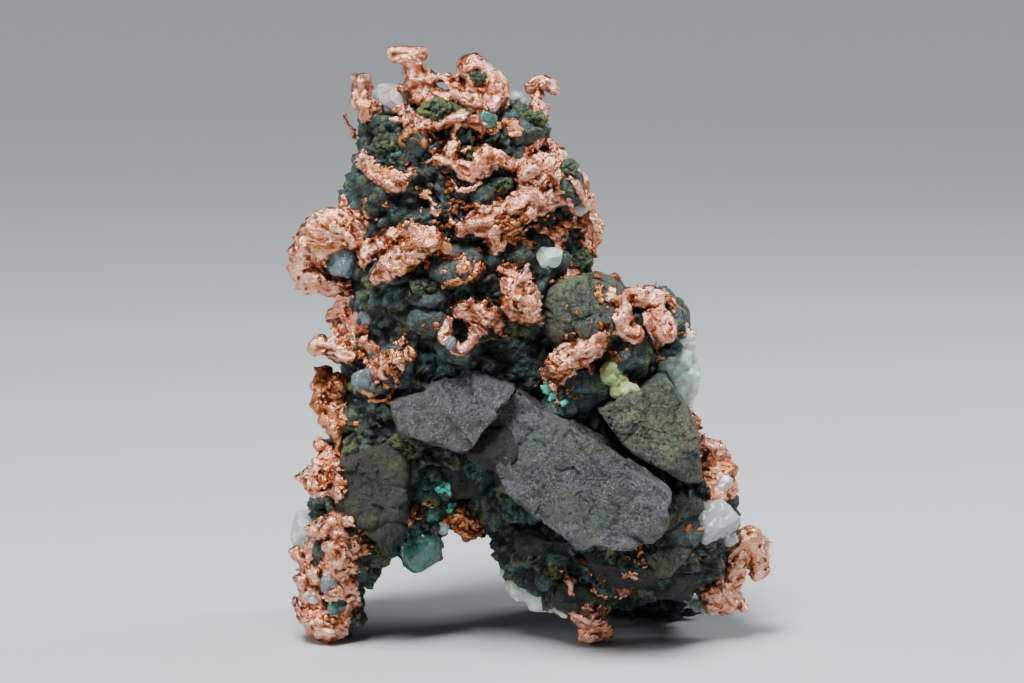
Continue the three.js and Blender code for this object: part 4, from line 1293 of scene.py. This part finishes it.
# Clumps of yellow green epidote in hollows of the front: across, up, half sizes and seed.
MOSS_CLUMPS = (
    (-8.8, 53.4, (2, 1.3, 1.3), 241),
    (-6.2, 53, (1.1, 1, 0.9), 242),
    (-13.6, 49.8, (1.7, 1.2, 1.3), 243),
    (-4.8, 56.4, (1, 0.8, 0.7), 244),
    (0.6, 52.6, (1.3, 1, 0.8), 245),
    (-2.6, 46.4, (1.1, 0.9, 0.7), 246),
    (4.2, 47.6, (0.9, 0.8, 1.0), 247),
    (-12.6, 33.8, (1.6, 1.1, 0.9), 248),
    (-10.2, 36.6, (1.3, 1, 0.8), 249),
    (-11.8, 20.8, (1.7, 1.1, 1.3), 250),
    (-10, 17.2, (1.1, 1, 1.5), 251),
    (-14.4, 9.6, (1.3, 1, 1.5), 252),
    (3.4, 26.2, (0.9, 0.8, 0.7), 253),
    (-17, 30.4, (0.9, 0.8, 0.8), 254),
    (2.6, 7.6, (1.1, 0.9, 0.7), 255),
    (16, 9.6, (1.1, 0.9, 0.7), 256),
)


def clump(relief, across, up, half, seed):
    """Granular epidote: a rounded lump covered with angular grains of 0.5 mm and 0.25 mm."""
    rows = 10 + int(16 * max(half))
    way = directions(rows, int(1.5 * rows))
    at = np.array([across, relief.nearest(across, up) + 0.7 * half[1], up])
    points = at + way * block_reach(way, np.array(half), 2.2)[..., None]
    points = raised(points, 0.5 * layered_noise(points, 1.4, seed, 2))
    big, tone = chips(points, 0.55, seed + 1, 1.6, 0.4)
    small, _ = chips(points, 0.26, seed + 2, 1.4, 0.4)
    hollow = np.clip(0.3 - 0.5 * big - 0.4 * small, 0, 1)
    points = raised(points, 0.22 * big + 0.1 * small)
    return turned(points, -relief.quarter), {"hollow": hollow, "grain": tone}


clumps = [clump(front, across, up, half, seed) for across, up, half, seed in MOSS_CLUMPS]
make_piece("epidote_clumps", clumps, MOSS)

# Small bright green blue spots beside the low copper: across, up, half sizes and seed.
TURQUOISE_SPOTS = (
    (2.6, 25.8, (0.6, 0.5, 0.5), 261),
    (3.4, 25.2, (0.6, 0.5, 0.4), 262),
    (0.3, 27.8, (0.5, 0.5, 0.6), 263),
    (1.8, 26.6, (0.4, 0.5, 0.5), 264),
    (-8.2, 16, (0.9, 0.7, 0.6), 265),
    (-7.6, 13.9, (0.5, 0.5, 0.4), 266),
)
spots = [clump(front, across, up, half, seed) for across, up, half, seed in TURQUOISE_SPOTS]
make_piece("turquoise_spots", spots, TURQUOISE)

# Epidote on the left side, the back and the right side, drawn by seed.
draw = np.random.default_rng(53)
side_clumps = []
for relief in (left, back, back, right):
    for _ in range(12):
        across, up = draw.uniform(-12, 12), draw.uniform(8, 50)
        seed = int(draw.integers(1, 9999))
        carried = relief.carries([[across - 0.5, up], [across + 0.5, up]], 0.6)
        if carried and relief.at(across, up) > BACK_CLUMPS:
            side_clumps.append(clump(relief, across, up, draw.uniform(0.7, 1.7, 3), seed))
make_piece("side_epidote_clumps", side_clumps, MOSS)

# Smooth copper crystals on the right edge and tip: middle, half sizes and seed.
COPPER_CRYSTALS = (
    ((19.2, -2.4, 15.4), (1.9, 1.3, 1.9), 231),
    ((18.8, -1.4, 19), (1.4, 1.1, 1.3), 232),
    ((22, -1.9, 9.6), (1.3, 1.2, 2.3), 233),
    ((19.6, -2.4, 5.4), (2, 1.4, 1.6), 234),
    ((-2.9, -4, 55.6), (1.2, 1.1, 1.8), 235),
)


def copper_crystal(at, half, seed):
    """A copper crystal: an ellipsoid cut by nine planes at 0.55 to 0.85 of its reach, its faces
    left smooth but for shallow swells and creases."""
    way = directions(44, 66)
    faces = seeded_cuts(half, 9, 0.55, 0.85, seed)
    points = np.array(at) + way * block_reach(way, half, 2.2, faces, 50)[..., None]
    crease = ridges(points + 0.3 * layered_noise(points, 1, seed)[..., None], 0.9, seed)
    height = 0.16 * layered_noise(points, 1.4, seed + 1, 2) + 0.1 * crease
    return raised(points, height), {"hollow": np.clip(0.3 - 0.5 * crease, 0, 1)}


copper_crystals = [copper_crystal(at, half, seed) for at, half, seed in COPPER_CRYSTALS]
make_piece("copper_crystals", copper_crystals, COPPER)


# Small crystals and glassy beads set in the front: across, up, half-length and finish.
SMALL_CRYSTALS = (
    (-19.8, 6.6, 1.1, "grey"),
    (-22, 4.9, 0.5, "clear"),
    (-21.3, 4.5, 0.45, "clear"),
    (-19, 3.9, 1.0, "green"),
    (-15.4, 33, 1.3, "grey"),
    (-16, 27.2, 1.2, "grey"),
    (-7.4, 31.2, 0.75, "grey"),
    (-3.8, 52.6, 0.9, "green"),
    (5.2, 43.7, 0.7, "clear"),
    (-7.9, 40.4, 0.7, "amber"),
    (-9.5, 13.4, 1.0, "green"),
    (-8.4, 12, 0.8, "clear"),
    (19.6, 16.2, 1.0, "clear"),
    (20.2, 10.8, 0.9, "clear"),
    (16.6, 3.4, 0.8, "clear"),
)
SMALL_FINISHES = {"grey": GREY_GLASS, "clear": MILKY, "green": SEA_GREEN, "amber": AMBER}
for kind, finish in SMALL_FINISHES.items():
    shells = []
    for order, (across, up, size, name) in enumerate(SMALL_CRYSTALS):
        if name == kind:
            at = (across, front.nearest(across, up) + 0.3 * size, up)
            shells.append(crystal(at, (size, 0.9 * size, size), 400 + order, (), 24))
    slot = "green_crystal" if kind == "green" else "milky_crystal"
    make_piece("small_" + kind + "_crystals", shells, finish)


def lobed(knots, radii, seed):
    """Prehnite crust: a limb whose surface is rounded lobes, each height 1 - (distance to its cell's
    centre)^2, of 1.5 mm with smaller ones of 0.6 mm on them."""
    length = np.linalg.norm(np.diff(np.array(knots), axis=0), axis=1).sum()
    rows, columns = int(length / 0.13) + 14, int(6.3 * max(radii) / 0.13)
    points = limb_grid(knots, radii, rows, columns)
    bent = points + 0.4 * layered_noise(points, 1.5, seed, 2)[..., None]
    big, _, _, _ = nearest_cells(bent, 1.5, seed)
    small, _, _, _ = nearest_cells(points, 0.6, seed + 8)
    lobe = 1 - (big / 1.1) ** 2
    bead = 1 - (small / 0.42) ** 2
    height = 0.6 * lobe + 0.16 * bead + 0.25 * layered_noise(points, 2.0, seed + 20, 2)
    taper = np.sqrt(np.sin(np.linspace(0, np.pi, rows + 1)))[:, None]
    hollow = np.clip(0.5 - 0.5 * lobe - 0.2 * bead, 0, 1)
    return raised(points, height * taper), {"hollow": hollow}


shoulder_crust = [[14.6, -2.6, 32.4], [14.9, -2.4, 29.4], [15.3, -2.2, 26.4], [15.8, -1.8, 23.6]]
crust = [
    lobed(shoulder_crust, [1.1, 1.7, 1.5, 0.9], 301),
    lobed([[13.2, -3.4, 30.4], [14.2, -3.2, 28], [14.6, -3, 26.4]], [0.6, 1.0, 0.6], 303),
]
make_piece("prehnite_crust_lobes", crust, CRUST, ["prehnite_crust"])
vein = [lobed([[7.8, -6.6, 28.9], [8.8, -7.2, 26.9], [11, -7.3, 24.8]], [0.6, 0.9, 0.6], 302)]
make_piece("prehnite_vein_lobes", vein, VEIN, ["prehnite_vein"])


def seated_crust(relief, across, up, radii, seed):
    """A run of crust lying on a surface along places (across, up)."""
    knots = [[a, relief.nearest(a, b) + 0.4, b] for a, b in zip(across, up)]
    points, marks = lobed(knots, radii, seed)
    return turned(points, -relief.quarter), marks


under_crust = [
    seated_crust(front, [-2.6, -1, 1.4, 4], [7.6, 5.4, 4, 3], [0.3, 0.6, 0.6, 0.3], 311),
    seated_crust(front, [14.8, 16.6, 19], [2.6, 2.4, 3], [0.4, 0.6, 0.4], 312),
    seated_crust(back, [-6, -3.6, -1], [33, 34.4, 33], [0.7, 1.2, 0.6], 314),
    seated_crust(back, [4, 6, 7], [20, 18, 15.6], [0.7, 1.2, 0.6], 315),
    seated_crust(right, [-1, 1.4, 3], [30, 29, 26.6], [0.6, 1.1, 0.7], 316),
    seated_crust(left, [-4, -2.4, -1], [40, 38.6, 36], [0.6, 1, 0.6], 317),
]
make_piece("underside_crust_lobes", under_crust, CRUST)


# ---- floor, light and camera ----------------------------------------------------------------

def make_stage():
    """A plain pale floor, a dim even sky and four soft lights."""
    bpy.ops.mesh.primitive_plane_add(size=60.0, location=(0, 0, 0))
    floor = bpy.context.object
    floor.name = "floor"
    paint = Paint("pale_floor")
    floor.data.materials.append(paint.finish(Base_Color=(0.5, 0.51, 0.53, 1), Roughness=0.8))

    world = bpy.data.worlds.new("studio")
    world.use_nodes = True
    world.node_tree.nodes["Background"].inputs[0].default_value = (0.75, 0.8, 0.88, 1)
    world.node_tree.nodes["Background"].inputs[1].default_value = 0.14
    bpy.context.scene.world = world

    def lamp(name, kind, place, energy, **settings):
        """A light at `place`, turned to the middle of the specimen."""
        data = bpy.data.lights.new(name, kind)
        data.energy = energy
        for key, value in settings.items():
            setattr(data, key, value)
        made = bpy.data.objects.new(name, data)
        made.location = place
        look_at(made, (0, 0, 0.03))
        bpy.context.collection.objects.link(made)

    lamp("sky_key", "SUN", (-0.25, -0.5, 1.0), 2.3, angle=0.3)
    lamp("top_box", "AREA", (-0.05, -0.1, 0.32), 1.8, size=0.12)
    lamp("left_box", "AREA", (-0.34, -0.16, 0.14), 0.45, size=0.12)
    lamp("right_box", "AREA", (0.3, 0.1, 0.2), 0.9, size=0.12)


def look_at(thing, aim):
    """Turns an object's -Z towards a point, keeping its top upwards."""
    way = Vector(aim) - Vector(thing.location)
    thing.rotation_euler = way.to_track_quat("-Z", "Y").to_euler()


def make_camera():
    """A 100 mm lens eight degrees above level, a little over a quarter of a metre away."""
    elevation = np.radians(8.0)
    away = 0.2844
    aim = np.array([-1.45, -0.28, 30.0]) * MM
    data = bpy.data.cameras.new("camera")
    data.lens = 100
    data.sensor_width = 36
    data.clip_start = 0.01
    camera = bpy.data.objects.new("camera", data)
    camera.location = aim - away * np.array([0, np.cos(elevation), -np.sin(elevation)])
    look_at(camera, aim)
    bpy.context.collection.objects.link(camera)
    bpy.context.scene.camera = camera


make_stage()
make_camera()
